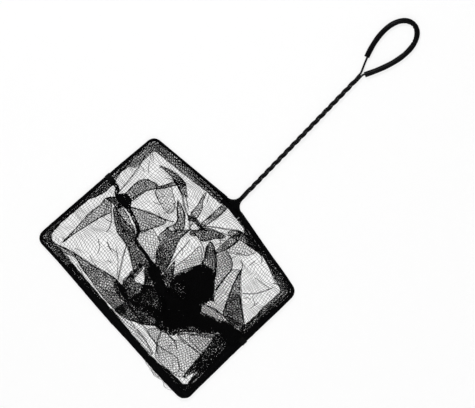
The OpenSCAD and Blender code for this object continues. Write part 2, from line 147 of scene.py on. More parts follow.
# %% Mesh helpers
def new_object(name, points, faces, material):
    """A smooth mesh object from points in metres and an array of faces with equal corner counts."""
    mesh = bpy.data.meshes.new(name)
    points, faces = np.asarray(points, dtype=np.float32), np.asarray(faces, dtype=np.int32)
    count, corners = faces.shape
    mesh.vertices.add(len(points))
    mesh.loops.add(faces.size)
    mesh.polygons.add(count)
    mesh.vertices.foreach_set("co", points.ravel())
    mesh.loops.foreach_set("vertex_index", faces.ravel())
    mesh.polygons.foreach_set("loop_start", np.arange(count, dtype=np.int32) * corners)
    mesh.polygons.foreach_set("loop_total", np.full(count, corners, dtype=np.int32))
    mesh.polygons.foreach_set("use_smooth", np.full(count, True))
    mesh.update(calc_edges=True)
    mesh.validate()
    mesh.materials.append(material)
    thing = bpy.data.objects.new(name, mesh)
    bpy.context.scene.collection.objects.link(thing)
    print(f"{name}: {len(points)} points, {count} faces")
    return thing


def grid_faces(rows, columns):
    """Quads over a grid of rows x columns points, whose last column is joined to the first."""
    i, j = np.meshgrid(np.arange(rows - 1), np.arange(columns), indexing="ij")
    k = (j + 1) % columns
    corners = [i * columns + j, (i + 1) * columns + j, (i + 1) * columns + k, i * columns + k]
    return np.stack([c.ravel() for c in corners], axis=1)


def tube(path, radius, sides=16):
    """Rings round a path: centre + radius * (cos t * left + sin t * up), with one radius or one per point."""
    _, left, up = along_path(path)
    turn = full_turn(sides)[:, None]
    ring = np.cos(turn) * left[:, None, :] + np.sin(turn) * up[:, None, :]
    return path[:, None, :] + np.broadcast_to(radius, len(path))[:, None, None] * ring


def closed_tube(name, rings, material):
    """A solid tube from its rings, of an even number of sides, with a cap of quads round a point at each end."""
    rows, sides = rings.shape[:2]
    points = np.concatenate([rings.reshape(-1, 3), [rings[0].mean(0), rings[-1].mean(0)]])
    k = np.arange(0, sides, 2)
    start = np.stack([k * 0 + rows * sides, k, k + 1, (k + 2) % sides], axis=1)
    stop = np.stack([(k + 2) % sides, k + 1, k], axis=1) + (rows - 1) * sides
    stop = np.concatenate([k[:, None] * 0 + rows * sides + 1, stop], axis=1)
    return new_object(name, to_frame(points), np.concatenate([grid_faces(rows, sides), start, stop]), material)


def dress(piece, node):
    """Puts a piece on the net's one body, in place of a node of the CAD model."""
    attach(piece, "root")
    if node:
        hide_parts(node)


# %% [markdown]
# ## Helpers for finishes
# Colours are written as sRGB hex values, as a painter's swatch gives them, and turned to the linear
# values that light is worked out in. One small function adds a node, sets it and links it.

# %% Material helpers
def linear(code):
    """An sRGB hex colour as linear red, green, blue and one."""
    parts = np.array([int(code[i : i + 2], 16) for i in (1, 3, 5)]) / 255
    values = np.where(parts <= 0.04045, parts / 12.92, ((parts + 0.055) / 1.055) ** 2.4)
    return (*[float(v) for v in values], 1.0)


def add_node(tree, kind, settings=None, links=None):
    """Adds a shader node. Settings are sockets by name, else properties; links join outputs to sockets."""
    node = tree.nodes.new("ShaderNode" + kind)
    for name, value in (settings or {}).items():
        if isinstance(name, int) or name in node.inputs:
            node.inputs[name].default_value = value
        else:
            setattr(node, name, value)
    for name, output in (links or {}).items():
        tree.links.new(output, node.inputs[name])
    return node


def new_material(name):
    """An empty node material, with its tree."""
    material = bpy.data.materials.new(name)
    material.use_nodes = True
    material.node_tree.nodes.clear()
    return material, material.node_tree


# %% [markdown]
# ## Table, camera and light
# The photograph looks straight down on a pure white table with hardly a shadow. The table is a large
# white sheet that curves up at its edge, so that it is white from every side too. Camera, glossy and
# see-through rays get most of its white as an even glow, and the rest is real diffuse white, which keeps
# the object's soft shadow.

# %% White paper
paper, tree = new_material("white_paper_table")
path = add_node(tree, "LightPath")
seen = path.outputs["Is Camera Ray"]
for ray in ("Is Glossy Ray", "Is Transmission Ray"):
    seen = add_node(tree, "Math", {"operation": "MAXIMUM"}, {0: seen, 1: path.outputs[ray]}).outputs[0]
GLOW_SHARE = 0.8
share = add_node(tree, "Math", {"operation": "MULTIPLY", 1: GLOW_SHARE}, {0: seen})
matt = add_node(tree, "BsdfDiffuse", {"Color": linear("#f7f7f7")})
glow = add_node(tree, "Emission", {"Color": linear("#ffffff"), "Strength": 1.0})
mix = add_node(tree, "MixShader", {}, {0: share.outputs[0], 1: matt.outputs[0], 2: glow.outputs[0]})
add_node(tree, "OutputMaterial", {}, {"Surface": mix.outputs[0]})

# %% [markdown]
# The sheet is one turned surface, with a small square that closes the hole in its middle.

# %% Table
TABLE_FLAT, TABLE_BEND, TABLE_DROP, TABLE_SIDES = 2.0, 1.0, 0.0003, 64


def table_points():
    """A disc in metres: height = 0 out to 2 m, then a quarter of a circle of 1 m radius, then a wall."""
    bend = np.radians(np.linspace(0, 90, 10))
    radius = np.concatenate([[0.02, 1.0], TABLE_FLAT + TABLE_BEND * np.sin(bend), [TABLE_FLAT + TABLE_BEND]])
    height = np.concatenate([[0.0, 0.0], TABLE_BEND - TABLE_BEND * np.cos(bend), [3.0]]) - TABLE_DROP
    return raised(radius[:, None, None] * heading(full_turn(TABLE_SIDES)), height[:, None])


rings = table_points()
table = new_object("table", rings.reshape(-1, 3), grid_faces(len(rings), TABLE_SIDES)[:, ::-1], paper)
square = 0.03 * np.array([[-1, -1], [1, -1], [1, 1], [-1, 1]])
centre = new_object("table_middle", raised(square, -0.00035), [[0, 1, 2, 3]], paper)

# %% [markdown]
# The camera stands over the middle of the picture, turned 47.65 degrees about the vertical, and is
# orthographic: the handle's twist has the same size along its whole length in the photograph. The
# world gives a dim even light. A small key lamp adds the sharp lights on the twisted handle, and a
# large soft lamp on the other side fills the shadows.

# %% Camera and light
VIEW_WIDTH, VIEW_TURN, VIEW_FROM = 0.5534, np.radians(47.65), (0.0011, -0.0477, 1.2)
LAMPS_AIM = np.array([0.0, -0.05, 0.0])
scene = bpy.context.scene
scene.view_settings.view_transform = "Standard"
camera_data = bpy.data.cameras.new("camera")
camera_data.type = "ORTHO"
camera_data.ortho_scale = VIEW_WIDTH
camera = bpy.data.objects.new("camera", camera_data)
camera.location = VIEW_FROM
camera.rotation_euler = (0.0, 0.0, VIEW_TURN)
scene.collection.objects.link(camera)
scene.camera = camera

world = bpy.data.worlds.new("even_light")
world.use_nodes = True
world.node_tree.nodes.clear()
sky = add_node(world.node_tree, "Background", {"Color": linear("#ffffff"), "Strength": 0.4})
add_node(world.node_tree, "OutputWorld", {}, {"Surface": sky.outputs[0]})
scene.world = world

for name, place, size, power in (("key_lamp", (-0.9, 0.5, 1.3), 0.1, 14.0), ("fill_lamp", (0.9, -0.7, 1.4), 1.0, 10.0)):
    data = bpy.data.lights.new(name, "AREA")
    data.shape, data.size, data.energy = "SQUARE", size, power
    lamp = bpy.data.objects.new(name, data)
    lamp.location = place
    way = LAMPS_AIM - np.array(place)
    lamp.rotation_euler = (np.arctan2(np.hypot(*way[:2]), -way[2]), 0.0, np.arctan2(way[1], way[0]) - np.pi / 2)
    scene.collection.objects.link(lamp)

# %% [markdown]
# ## Finishes
# The wire is steel wire with a thin coat of black PVC, put on hot, so it is satin and a little
# uneven. The grip sleeve is a soft vinyl tube, duller than the wire. The netting, the hems and the
# sewing thread are black polyester: each thread is a bundle of fine filaments, so it is dull and gives
# only a weak sheen. One function makes them all, because they differ only in their numbers.

# %% Finishes
def black_finish(name, colour, roughness, specular, grain_mm, depth_mm, strength, detail, uneven=False):
    """A black polymer. Its bump is noise at the size of the real unevenness, and where it is uneven the
    roughness follows the same noise, from 0.06 below to 0.08 above."""
    material, tree = new_material(name)
    place = add_node(tree, "TexCoord")
    noise = add_node(tree, "TexNoise", {"Scale": 1000.0 / grain_mm, "Detail": detail},
                     {"Vector": place.outputs["Object"]})
    bump = add_node(tree, "Bump", {"Strength": strength, "Distance": depth_mm * MM},
                    {"Height": noise.outputs["Fac"]})
    body = add_node(tree, "BsdfPrincipled",
                    {"Base Color": linear(colour), "Roughness": roughness, "Specular IOR Level": specular},
                    {"Normal": bump.outputs[0]})
    if uneven:
        rough = add_node(tree, "MapRange", {"To Min": roughness - 0.06, "To Max": roughness + 0.08},
                         {"Value": noise.outputs["Fac"]})
        tree.links.new(rough.outputs[0], body.inputs["Roughness"])
    add_node(tree, "OutputMaterial", {}, {"Surface": body.outputs[0]})
    return material


# a grain: its size and depth in mm, the bump's strength, the noise's detail, whether the gloss varies too
WIRE_GRAIN, TUBE_GRAIN, THREAD_GRAIN = (2.4, 0.04, 0.5, 3.0, True), (3.5, 0.3, 0.5, 3.0, True), (1.2, 0.2, 0.6, 2.0)
pvc_coat = black_finish("pvc_coated_steel_wire", "#050506", 0.15, 0.1, *WIRE_GRAIN)  # satin, with small sharp lights
vinyl = black_finish("soft_vinyl_tube", "#040405", 0.34, 0.05, *TUBE_GRAIN)  # moulded, duller, softly rippled
netting = black_finish("polyester_netting", "#050506", 0.8, 0.06, *THREAD_GRAIN)  # knotless net, almost no shine
hem_cloth = black_finish("folded_polyester_netting", "#040405", 0.85, 0.04, *THREAD_GRAIN)  # wound tight, opaque
sewing_thread = black_finish("polyester_sewing_thread", "#030303", 0.6, 0.1, *THREAD_GRAIN)  # twisted, a weak sheen

# %% [markdown]
# ## The hoop's wire
# The real wire is one piece: it leaves the twist, bends at the crotch, runs round the rectangle and
# comes back. Its path is straight runs joined by arcs, the same as in the CAD model, with finer steps.

# %% Places on the hoop
half_far, half_near, half_depth = FAR_W / 2, NEAR_W / 2, DEPTH / 2
CROSSING = np.array([0.0, half_depth + half_near * np.tan(SLOPE)])
ACROSS, LEG_LEFT = heading(LEAN), heading(SLOPE)
ALONG, LEG_RIGHT = to_left(ACROSS), LEG_LEFT * [-1, 1]
NEAR_LEFT, FAR_LEFT, FAR_RIGHT, NEAR_RIGHT = pair(np.array([-half_near, -half_far, half_far, half_near]),
                                                  np.array([half_depth, -half_depth, -half_depth, half_depth]))


def cross2(a, b):
    """The flat cross product of two plane vectors."""
    return a[0] * b[1] - a[1] * b[0]


def meet(p, d, q, e):
    """Where the line through p along d meets the line through q along e."""
    return p + d * (cross2(q - p, e) / cross2(d, e))


BEND_LEFT = meet(NEAR_LEFT, LEG_LEFT, CROSSING - STRAND_R * ACROSS, ALONG)
BEND_RIGHT = meet(NEAR_RIGHT, LEG_RIGHT, CROSSING + STRAND_R * ACROSS, ALONG)
RUN_LEFT = CROTCH_R * np.tan((np.pi / 2 + LEAN - SLOPE) / 2)
RUN_RIGHT = CROTCH_R * np.tan((np.pi / 2 - LEAN - SLOPE) / 2)
ROOT_S = ROOT_LEAD + max((BEND_LEFT - CROSSING) @ ALONG + RUN_LEFT, (BEND_RIGHT - CROSSING) @ ALONG + RUN_RIGHT)
ROOT = CROSSING + ROOT_S * ALONG
BASE = ROOT + HANDLE_LEN * ALONG


# %% [markdown]
# The wire is bent round a mandrel at each corner, so its corners are arcs and it stays round.

# %% Hoop wire
def arcs(points, radii, steps=16):
    """A flat path with its corners rounded: at each corner an arc that touches both straight runs."""
    parts = [np.array([points[0]])]
    for a, b, c, r in zip(points[:-2], points[1:-1], points[2:], radii):
        go, leave = unit(b - a), unit(c - b)
        turn = np.arctan2(cross2(go, leave), go @ leave)
        side = np.sign(turn) * to_left(go)
        centre = b - r * np.tan(abs(turn) / 2) * go + r * side
        t = np.linspace(0, abs(turn), steps)[:, None]
        parts.append(centre - r * (np.cos(t) * side - np.sin(t) * go))
    return np.concatenate([*parts, [points[-1]]])


hoop_path = arcs([ROOT - STRAND_R * ACROSS, BEND_LEFT, NEAR_LEFT, FAR_LEFT, FAR_RIGHT, NEAR_RIGHT, BEND_RIGHT,
                  ROOT + STRAND_R * ACROSS], [CROTCH_R, *[CORNER_R] * 4, CROTCH_R])
dress(closed_tube("coated_hoop_wire", tube(raised(hoop_path, AXIS_Z), WIRE_R), pvc_coat), "hoop_wire")

# %% [markdown]
# ## The twisted handle
# The handle is three strands laid round each other like a rope: the hoop's two legs and the wire's
# tail, which comes back from the loop. In the photograph its width stays the same all along and its
# bright spots step from side to side, which two strands can't do. Each strand is a helix whose centre
# keeps 1.56 mm from the handle's axis, so the three just clear each other. The twist sets in and dies
# out softly at its ends and turns to the right, like a common screw. The strands are drawn a touch
# thicker than the wire, because twisting presses their coats flat on each other. The axis lies a
# little above the hoop's wire: two strands leave in the hoop's plane and the third lies on them.

# %% Twisted handle
STRAND_CLEARANCE = 0.02  # taken off each strand, so that the three don't touch


def twist_share(x):
    """Share of all turns that is done at a share x of the handle: a parabola at both ends, else a line."""
    ease, even = 2 * EASE * (1 - EASE), (x - EASE / 2) / (1 - EASE)
    return np.where(x < EASE, x * x / ease, np.where(x > 1 - EASE, 1 - (1 - x) ** 2 / ease, even))


def strand(phase):
    """Centre = handle's axis + radius * (cos, sin) of phase - turns * share of the twist."""
    x = np.linspace(0, 1, int(TURNS * 60) + 1)
    angle = phase - 2 * np.pi * TURNS * twist_share(x)
    flat = ROOT + x[:, None] * HANDLE_LEN * ALONG + TWIST_R * np.cos(angle)[:, None] * ACROSS
    return raised(flat, AXIS_Z + TWIST_LIFT + TWIST_R * np.sin(angle))


for side, degrees in (("left", 210), ("right", -30), ("tail", 90)):
    rings = tube(strand(np.radians(degrees)), STRAND_R - STRAND_CLEARANCE, 14)
    dress(closed_tube(side + "_strand", rings, pvc_coat), "handle_strand_" + side)

# %% [markdown]
# ## The hanging loop and its sleeve
# After the twist the wire opens into a teardrop and comes back. A vinyl tube is pushed over it, wider
# than the wire, so it rides on the outer side of the bend, flattens there and buckles into small
# creases at the two shoulders of the tip. It is cut square at both ends.

# %% Loop
SWELL = LOOP_W * 3 * np.sqrt(3) / 8


def loop_line(angle):
    """Teardrop: u = length * sin^2, v = cos * hypot(strand radius, 2 * swell * sin^2) + u * tan(turn)."""
    u = LOOP_LEN * np.sin(angle) ** 2
    v = np.cos(angle) * np.hypot(STRAND_R, 2 * SWELL * np.sin(angle) ** 2) + u * np.tan(LOOP_TURN)
    return BASE + u[:, None] * ALONG + v[:, None] * ACROSS


def loop_angle(u):
    """Angle at which the loop is at a distance u from the twist."""
    return np.arcsin(np.sqrt(u / LOOP_LEN))


loop_path = spaced(loop_line(np.linspace(0, np.pi, 400)), 1.6)
dress(closed_tube("loop_wire_coated", tube(raised(loop_path, AXIS_Z), WIRE_R), pvc_coat), "loop_wire")

# %% [markdown]
# Each buckle of the sleeve is: how far along it, how deep and how wide, in millimetres.

# %% Sleeve
BUCKLES = [(52.0, 0.25, 0.8), (66.0, 0.35, 0.9), (70.5, 0.6, 1.0), (74.5, 0.35, 0.8), (88.0, 0.45, 0.9),
           (92.5, 0.7, 1.1), (96.5, 0.4, 0.9), (103.0, 0.3, 0.8), (124.0, 0.2, 0.9)]


def sleeve_rings(radius, sides=28, rows=260):
    """Rings shifted to the outer side of the bend. Buckles are narrow dips across the tube: sums of
    -depth * exp(-(distance / width)^2), deepest on the side that faces into the bend."""
    line = loop_line(np.linspace(loop_angle(SLEEVE_START), np.pi - loop_angle(SLEEVE_END), rows))
    line = line - SLEEVE_SHIFT * to_left(unit(np.gradient(line, axis=0)))
    run, turn = run_of(line), full_turn(sides)
    dip = np.zeros((rows, sides))
    for at, depth, width in BUCKLES:
        away = run[:, None] - (at + 0.9 * np.sin(turn))
        dip += depth * np.exp(-((away / width) ** 2)) * (0.25 + 0.75 * (0.5 + 0.5 * np.cos(turn)) ** 2)
    ripple = 0.06 * np.sin(run / 3.1)[:, None] * np.cos(2 * turn) - 0.06
    centre = raised(line, AXIS_Z)
    rings = tube(centre, 1.0, sides)
    return centre[:, None] + (rings - centre[:, None]) * (radius - dip + ripple)[..., None], run[-1]


outer, sleeve_length = sleeve_rings(SLEEVE_R)
inner, _ = sleeve_rings(SLEEVE_BORE_R + 0.1)
rows, sides = outer.shape[:2]
skin = grid_faces(rows, sides)
k = np.arange(sides)
n = (k + 1) % sides
rim = np.stack([k, n, n + rows * sides, k + rows * sides], axis=1)
faces = np.concatenate([skin, skin[:, ::-1] + rows * sides, rim, rim[:, ::-1] + (rows - 1) * sides])
sleeve = new_object("vinyl_sleeve", to_frame(np.concatenate([outer, inner]).reshape(-1, 3)), faces, vinyl)
print("the sleeve is", round(sleeve_length, 1), "mm long")
dress(sleeve, "grip_sleeve")

# %% [markdown]
# ## Netting as real threads
# Fine netting could be a picture on a sheet, but then its edges and folds look painted. Here each
# mesh of the net is made: threads 2.8 mm apart in two directions. The real mesh is about half that, but
# too fine to show in the render, so it is drawn as coarse as it needs to show, with threads thick enough
# to let through as much light. A thread piece is a little prism between two points, so a whole net is
# one array of starts and one of ends.

# %% Thread helpers
PITCH = 2.8
SINGLE_W, FOLD_W, BUNCH_W = 0.38, 0.48, 0.74  # thread widths in a single layer, a fold and the heap


def threads(name, parts, material, sides=3):
    """A mesh of open prisms. parts are pairs of a width and an array of pieces, each piece two ends."""
    ends = np.concatenate([pieces for _, pieces in parts])
    width = np.repeat([w for w, _ in parts], [len(pieces) for _, pieces in parts])
    way = unit(ends[:, 1] - ends[:, 0])
    side = unit(np.cross(way, np.array([0.0, 0.0, 1.0]) + 1e-6))
    up = np.cross(side, way)
    turn = np.pi / 2 + full_turn(sides)[:, None]
    ring = np.cos(turn) * side[:, None, :] + np.sin(turn) * up[:, None, :]
    radius = width / 2 / (np.cos(np.pi / 6) if sides == 3 else 1.0)
    points = ends[:, :, None, :] + radius[:, None, None, None] * ring[:, None, :, :]
    k = np.arange(sides)
    quad = np.stack([k, (k + 1) % sides, (k + 1) % sides + sides, k + sides], axis=1)
    faces = quad[None] + (np.arange(len(ends)) * 2 * sides)[:, None, None]
    return new_object(name, to_frame(points.reshape(-1, 3)), faces.reshape(-1, 4), material)


def along_line(line):
    """A line's points as thread pieces, end to end."""
    return np.stack([line[:-1], line[1:]], axis=1)


def net_round(rings):
    """Threads over a tube's rings, along it and round it."""
    pieces = [np.stack([rings[:-1], rings[1:]], axis=2), np.stack([rings, np.roll(rings, -1, axis=1)], axis=2)]
    return np.concatenate([p.reshape(-1, 2, 3) for p in pieces])


# %% [markdown]
# A mesh is laid out flat, its lines are bent by slow waves as in slack cloth, and it is cut along an
# outline. Lines that were measured are smoothed through their points.

# %% Outlines
def inside(points, outline):
    """True where a point lies in a closed outline: a ray to the right crosses its sides an odd number of times."""
    a = np.asarray(outline, dtype=float)
    b = np.roll(a, -1, axis=0)
    x, y = points[..., 0, None], points[..., 1, None]
    rise = np.where(np.abs(b[:, 1] - a[:, 1]) < 1e-9, 1e-9, b[:, 1] - a[:, 1])
    crossed = ((a[:, 1] > y) != (b[:, 1] > y)) & (x < a[:, 0] + (y - a[:, 1]) * (b[:, 0] - a[:, 0]) / rise)
    return np.count_nonzero(crossed, axis=-1) % 2 == 1


def smooth_line(points, step=2.0, closed=False):
    """A cubic through points that leaves each along its neighbours, in equal steps."""
    p = np.asarray(points, dtype=float)
    p = np.concatenate([p[-1:], p, p[:2]]) if closed else np.concatenate([p[:1], p, p[-1:]])
    a, b, c, d = (p[i : len(p) - 3 + i, None, :] for i in range(4))
    t = np.linspace(0, 1, 12, endpoint=False)[None, :, None]
    curve = 0.5 * (2 * b + (c - a) * t + (2 * a - 5 * b + 4 * c - d) * t**2 + (3 * b - a - 3 * c + d) * t**3)
    return spaced(np.concatenate([curve.reshape(-1, p.shape[1]), p[-2:-1]]), step)


# %% [markdown]
# Slow waves serve for everything that wanders: the mesh's lines, the edges of bands, the rolls.

# %% Flat mesh
def waves(xy, seed, size):
    """Smooth wandering values between about -1 and 1: a sum of sines in five directions, size mm long."""
    local = rng(seed)
    turn, phase = local.uniform(0, 2 * np.pi, 5), local.uniform(0, 2 * np.pi, 5)
    scale = 2 * np.pi / size * local.uniform(0.6, 1.6, 5)
    far = xy[..., 0, None] * np.cos(turn) + xy[..., 1, None] * np.sin(turn)
    return np.sin(far * scale + phase).sum(-1) / 2.6


def cut_to(pieces, outline):
    """The pieces inside an outline. One that crosses it is cut there, found by halving seven times."""
    held = inside(pieces, outline)
    pieces, held = pieces[held.any(1)], held[held.any(1)]
    pieces[~held[:, 0]] = pieces[~held[:, 0]][:, ::-1]
    cut = ~held.all(1)
    start, stop = pieces[cut, 0], pieces[cut, 1]
    low, high = np.zeros(len(start)), np.ones(len(start))
    for _ in range(7):
        half = (low + high) / 2
        good = inside(start + half[:, None] * (stop - start), outline)
        low, high = np.where(good, half, low), np.where(good, high, half)
    pieces[cut, 1] = start + low[:, None] * (stop - start)
    return pieces


def lattice(outline, angle, seed, bend=1.6):
    """Flat square mesh inside an outline, turned by an angle, its lines bent by slow waves."""
    outline = np.asarray(outline, dtype=float)
    middle = (outline.min(0) + outline.max(0)) / 2
    n = int(np.ceil(np.linalg.norm(outline - middle, axis=1).max() / PITCH)) + 1
    i, j = np.meshgrid(np.arange(-n, n + 1), np.arange(-n, n + 1), indexing="ij")
    shift = rng(seed).uniform(0, 1, 2)
    u, v = (i + shift[0]) * PITCH, (j + shift[1]) * PITCH
    xy = middle + (u[..., None] * heading(angle) + v[..., None] * to_left(heading(angle)))
    for first, size, share in ((seed + 1, 45.0, 1.0), (seed + 3, 13.0, 0.3)):
        xy = xy + share * bend * pair(waves(xy, first, size), waves(xy, first + 1, size))
    pieces = [np.stack([xy[:-1], xy[1:]], axis=2), np.stack([xy[:, :-1], xy[:, 1:]], axis=2)]
    return cut_to(np.concatenate([p.reshape(-1, 2, 2) for p in pieces]), outline)


# %% [markdown]
# ## How the bag lies
# The bag is much larger than the hoop: two panels, each about 434 x 190 mm, lie bunched inside it.
# Near the hoop the netting is one layer thick. Its spare width goes into folds that run from the hem
# to a heap. Each fold is two or more layers thick, so it looks darker, with a sharp darker crease along
# each side. Outlines were measured, in millimetres, and are written as x,y pairs.

# %% Seam routes
def read_points(text):
    """Points from text: numbers joined by commas, points parted by spaces."""
    return np.array([point.split(",") for point in text.split()], dtype=float)


def read_rows(text):
    """Rows from text, parted by semicolons: one or two numbers, a colon, then points."""
    rows = [row.split(":") for row in text.split(";")]
    return [(*[float(v) if "." in v else int(v) for v in head.split()], read_points(points)) for head, points in rows]


LEFT_ROUTE = read_points("""-123.8,19.4 -113,19 -107,18 -103,14 -97,12.5 -85,11 -75,10 -65,7.5 -57,4.5 -52,0 -50,-5
-45,-8 -30,-9.5 -20,-11 -10,-12 4,-16 16,-19""")
RIGHT_ROUTE = read_points("""124.2,5.9 112,4 100,1 88,-5 76,-12 62,-18 46,-20 30,-20 16,-19""")
ROUTE = np.concatenate([LEFT_ROUTE, RIGHT_ROUTE[::-1][1:]])

# %% [markdown]
# Each fold is: how many layers lie there in all, the turn of its mesh in degrees, and its outline.

# %% Folds of the near panel
NEAR_FOLDS = read_rows("""4 5: -92,71 -86,75 -78,78 -70,79.5 -62,80 -56,79.5 -50,75 -44,71 -50,69 -55,69.5 -64,72
-70,73.5 -85,73;
4 30: -72,73 -70,80 -58,80 -58,72;
4 60: -68,71 -62,73 -66,66 -69,60 -73,54 -78,49.5 -79,53 -76,55 -73,60 -71,64;
4 80: -78,55 -86,53 -91,50 -95,44 -96,36 -96,26 -94.5,20 -85,20 -83.5,28 -82,38 -80,44 -77,49;
2 20: -68,66 -60,62 -50,57 -44,50 -45,42 -60,43 -75,49 -70,58;
3 -60: -80,15 -60,26 -42,34 -40,28 -46,14 -50,4 -60,8 -75,12;
4 -35: -49,60.5 -44,58 -38,58 -30,55 -26,50 -22,45 -20,41 -24,36 -30,36 -30.5,42 -33,46 -38,50 -44,55;
5 65: -34,30 -33,25 -34,20 -33,16 -28,13 -24,9 -22,3 -19,-1 -14,-6 -10,-10 0,-10 2,-5 -1,3 -4,10 -8,18 -12,26 -14,34
-14,46 -17,44 -20,40 -24,36 -27,31 -30,30;
7 10: -25,57 -22,60.5 -18,61.5 -8,60.5 -5,58 -6,56.5 -12,57 -17,57.5 -20,56 -24,53.5;
3 75: -34,90 -32.5,90 -28,80 -24,77 -20,69 -19,62 -27,61 -28.5,70 -31,80;
4 3: -9.5,97 -3.5,97 -3,80 -5,68 -6,61 -10,61 -10,75;
6 12: -4,62 4,68 12,71 20,73 18,68 13,62 11,58 8,52 4,49 0,50 -4,48 -9,44 -12,46 -10,51 -5,57;
3 45: 18,78 28,80 29,84 28,90 22,86.5;
2 25: 80,38 90,33 100,26 110,20 104,14 92,13 84,14 80,22;
6 25: 27,90 33,91 40,92.5 50,94 57,92 52,88 44,86 33,82.5 30,84;
5 50: 28,90 31,84 33.5,80 33,70 31,62 28,55 26.5,50 24.5,52 24,62 24,72 25,80 26,88;
7 -40: 12,56 18,56 25,52 32,46 38,41 45,33 50,28 44,32 36,34 30,32 25,32 21,39 18,43 14,47 13,52;
2 35: 33,82 40,84 50,87 57,90 55,80 48,72 40,66 33,62 32,70;
3 70: 33,62 44,60 52,54 54,45 56,32 58,22 50,28 42,38 34,46 28,50 28,56;
2 15: 61,58 68,40 76,26 82,13 86,9 75,6 64,3 62,8 64,14 60,20 57,30 55,42 54,52;
6 -38: 60.5,62 66,54 72,48 80,41 90,34 100,27 110,20 114,16 108,12 100,10 92,9 86,9 83,12 80,19 76,27 72,34 68,41
64,49 61,58;
4 8: 88,5 100,6 102,14 90,13;
2 -25: 8,43 19,37 24,29 19,18 14,0 9,-2 6,4 7,16 8,30;
8 55: 1,10 6,4 10,0 14,-4 16,-10 20,-14 26,-20 18,-20 12,-19 6,-14 3,-8 3,-2;
2 48: -52,2 -48,12 -43,16 -36,15 -30,13 -27,12 -22,4 -18,-2 -20,-9 -36,-9 -46,-8 -52,-3;
2 20: -24,9 -22,3 -19,-1 -14,-6 -10,-10 0,-10 2,-5 -1,3 -4,10 -8,14 -14,12 -20,13;
3 -5: -22,3 -19,-1 -14,-6 -10,-10 -6,-9 -8,-2 -9,5 -16,7""")

# %% [markdown]
# The far panel is fuller, so its folds are deeper and lie closer together.

# %% Folds of the far panel
FAR_FOLDS = read_rows("""3 10: 61,0 64,3 75,6 84,8 88,4 82,0 74,-3 66,-7 62,-4;
10 25: -107,0 -104,6 -100,9 -88,9 -88,4 -90,0 -95,2 -101,1;
3 30: -88,7 -78,6 -64,2 -57,0 -55,-3 -65,-1 -78,-1 -88,1;
7 -10: -93,0 -88,1 -80,-1 -68,-2 -57,-1 -53,-4 -51,-8 -46,-9 -30,-10.5 -20,-12 -15,-13 -17,-18 -20,-22 -22,-27 -22,-34
-26,-31 -32,-28 -38,-24 -44,-21 -50,-18.5 -60,-17.5 -68,-17 -72,-15 -78,-12 -84,-8 -90,-4;
3 -70: -107,0 -105.5,-8 -107,-20 -107.5,-28 -106,-36 -105,-45 -104.5,-55 -104,-66 -103.5,-71 -102.5,-70 -102,-60
-101,-50 -99.5,-42 -98.5,-36 -97,-28 -95.5,-20 -93,-12 -91,-7 -95,-2 -100,2;
5 18: -84,-70 -75,-68.5 -68,-67 -60,-64.5 -50,-61 -42,-58 -35,-56.5 -28,-55 -22,-58 -15,-60 -5,-62 0,-66 5,-68 5,-78
-5,-79.5 -20,-80 -30,-79.5 -45,-77.5 -60,-76 -70,-74.5 -78,-72.5;
7 -20: -28,-55 -10,-56 0,-62 -10,-66 -25,-62;
3 2: -108,-79.5 -97,-74.5 -86,-71 -80,-71.5 -86,-75 -95,-79;
9 50: 0,-60 12,-58 22,-56 32,-53 40,-47 44,-52 41,-58 36,-62 32,-66 28,-69 20,-73 12,-77 3,-79 -4,-79;
11 35: 0,-33 8,-28 30,-30 40,-40 40,-47 32,-53 22,-56 0,-60 -1,-54 0,-46 -1,-38;
2 -5: -20,-15 -13,-15 -13,-25 -20,-25;
2 12: -5,-74 10,-74 35,-77 58,-79 62,-84 30,-86 -5,-83;
7 15: 62,-48 66,-42 70,-36 76,-30 84,-23 78,-22 70,-26 66,-34 62,-42;
2 -30: 96,-13 101,-30 102,-41 90,-43 82,-45 66,-46 72,-38 80,-30 90,-19;
2 62: 50,-52 66,-53 78,-46 103,-42 106,-66 107,-74 98,-79 70,-82 58,-71 40,-68 46,-57;
8 35: -20,-36 -16,-39 -12,-40 -6,-38 0,-34 3,-38 4,-46 2,-54 0,-60 -15,-60 -25,-57 -20,-54 -21,-48 -22,-42;
9 70: -17,-17 -6,-20 4,-25 7,-29 4,-34 -3,-35 -6,-31 -11,-26 -16,-22;
8 15: 4,-27 12,-28 18,-32 24,-36 27,-42 30,-44 42,-42 40,-36 30,-28 20,-26;
8 -15: 6,-57 12,-51 20,-46.5 30,-43 40,-41 43,-48 36,-51.5 26,-54 16,-56;
10 40: 38,-48 46,-50 54,-49 60,-46 64,-44 64,-49 60,-52 54,-55 46,-57 40,-56;
3 -50: 66,-34 74,-30 82,-26 90,-19 95,-11 98,-15 92,-22 84,-28 78,-33 72,-38 68,-44 64,-42;
2 5: 96,-13 101,-30 101,-38 90,-39 78,-38 80,-30 90,-19;
5 85: -24,-22 -18,-24 -17,-30 -16,-37 -20,-40 -24,-38 -23,-30""")

# %% [markdown]
# The heap is written the same way: a few large outlines, each many layers deep.

# %% Folds of the heap, where both panels end
HEAP_FOLDS = read_rows("""14 10: 25,29 28,33 33,34 40,35 46,31 52,26 58,20 63,15 66,12 62,9 61,2 60,-2 66,-7 74,-4
82,-1 88,2 92,5 100,9 110,10 119,10 119,-8 98,-8 94,-12 88,-19 82,-23 74,-24 68,-30 62,-40 58,-48 50,-50 44,-48 40,-44
30,-32 10,-28 0,-24 -8,-22 -15,-16 -12,-11 0,-10 8,-16 14,-19 24,-20 16,-10 14,-4 16,3 18,10 20,17 22,24;
7 -30: -101,13 -97,19 -94,21 -86,21 -82,16 -79,13 -85,9 -100,9;
5 -80: 98,-14 100,-22 102,-32 103.5,-45 104.5,-58 106.5,-68 108.5,-72 110,-66 112,-60 114,-56 116,-60 115,-68 118,-75
119,-60 118,-40 118,-20 117,-8 105,-7 98,-9""")

# %% [markdown]
# Creases are narrow rolls of netting that look like dark lines: width in mm, then the line.

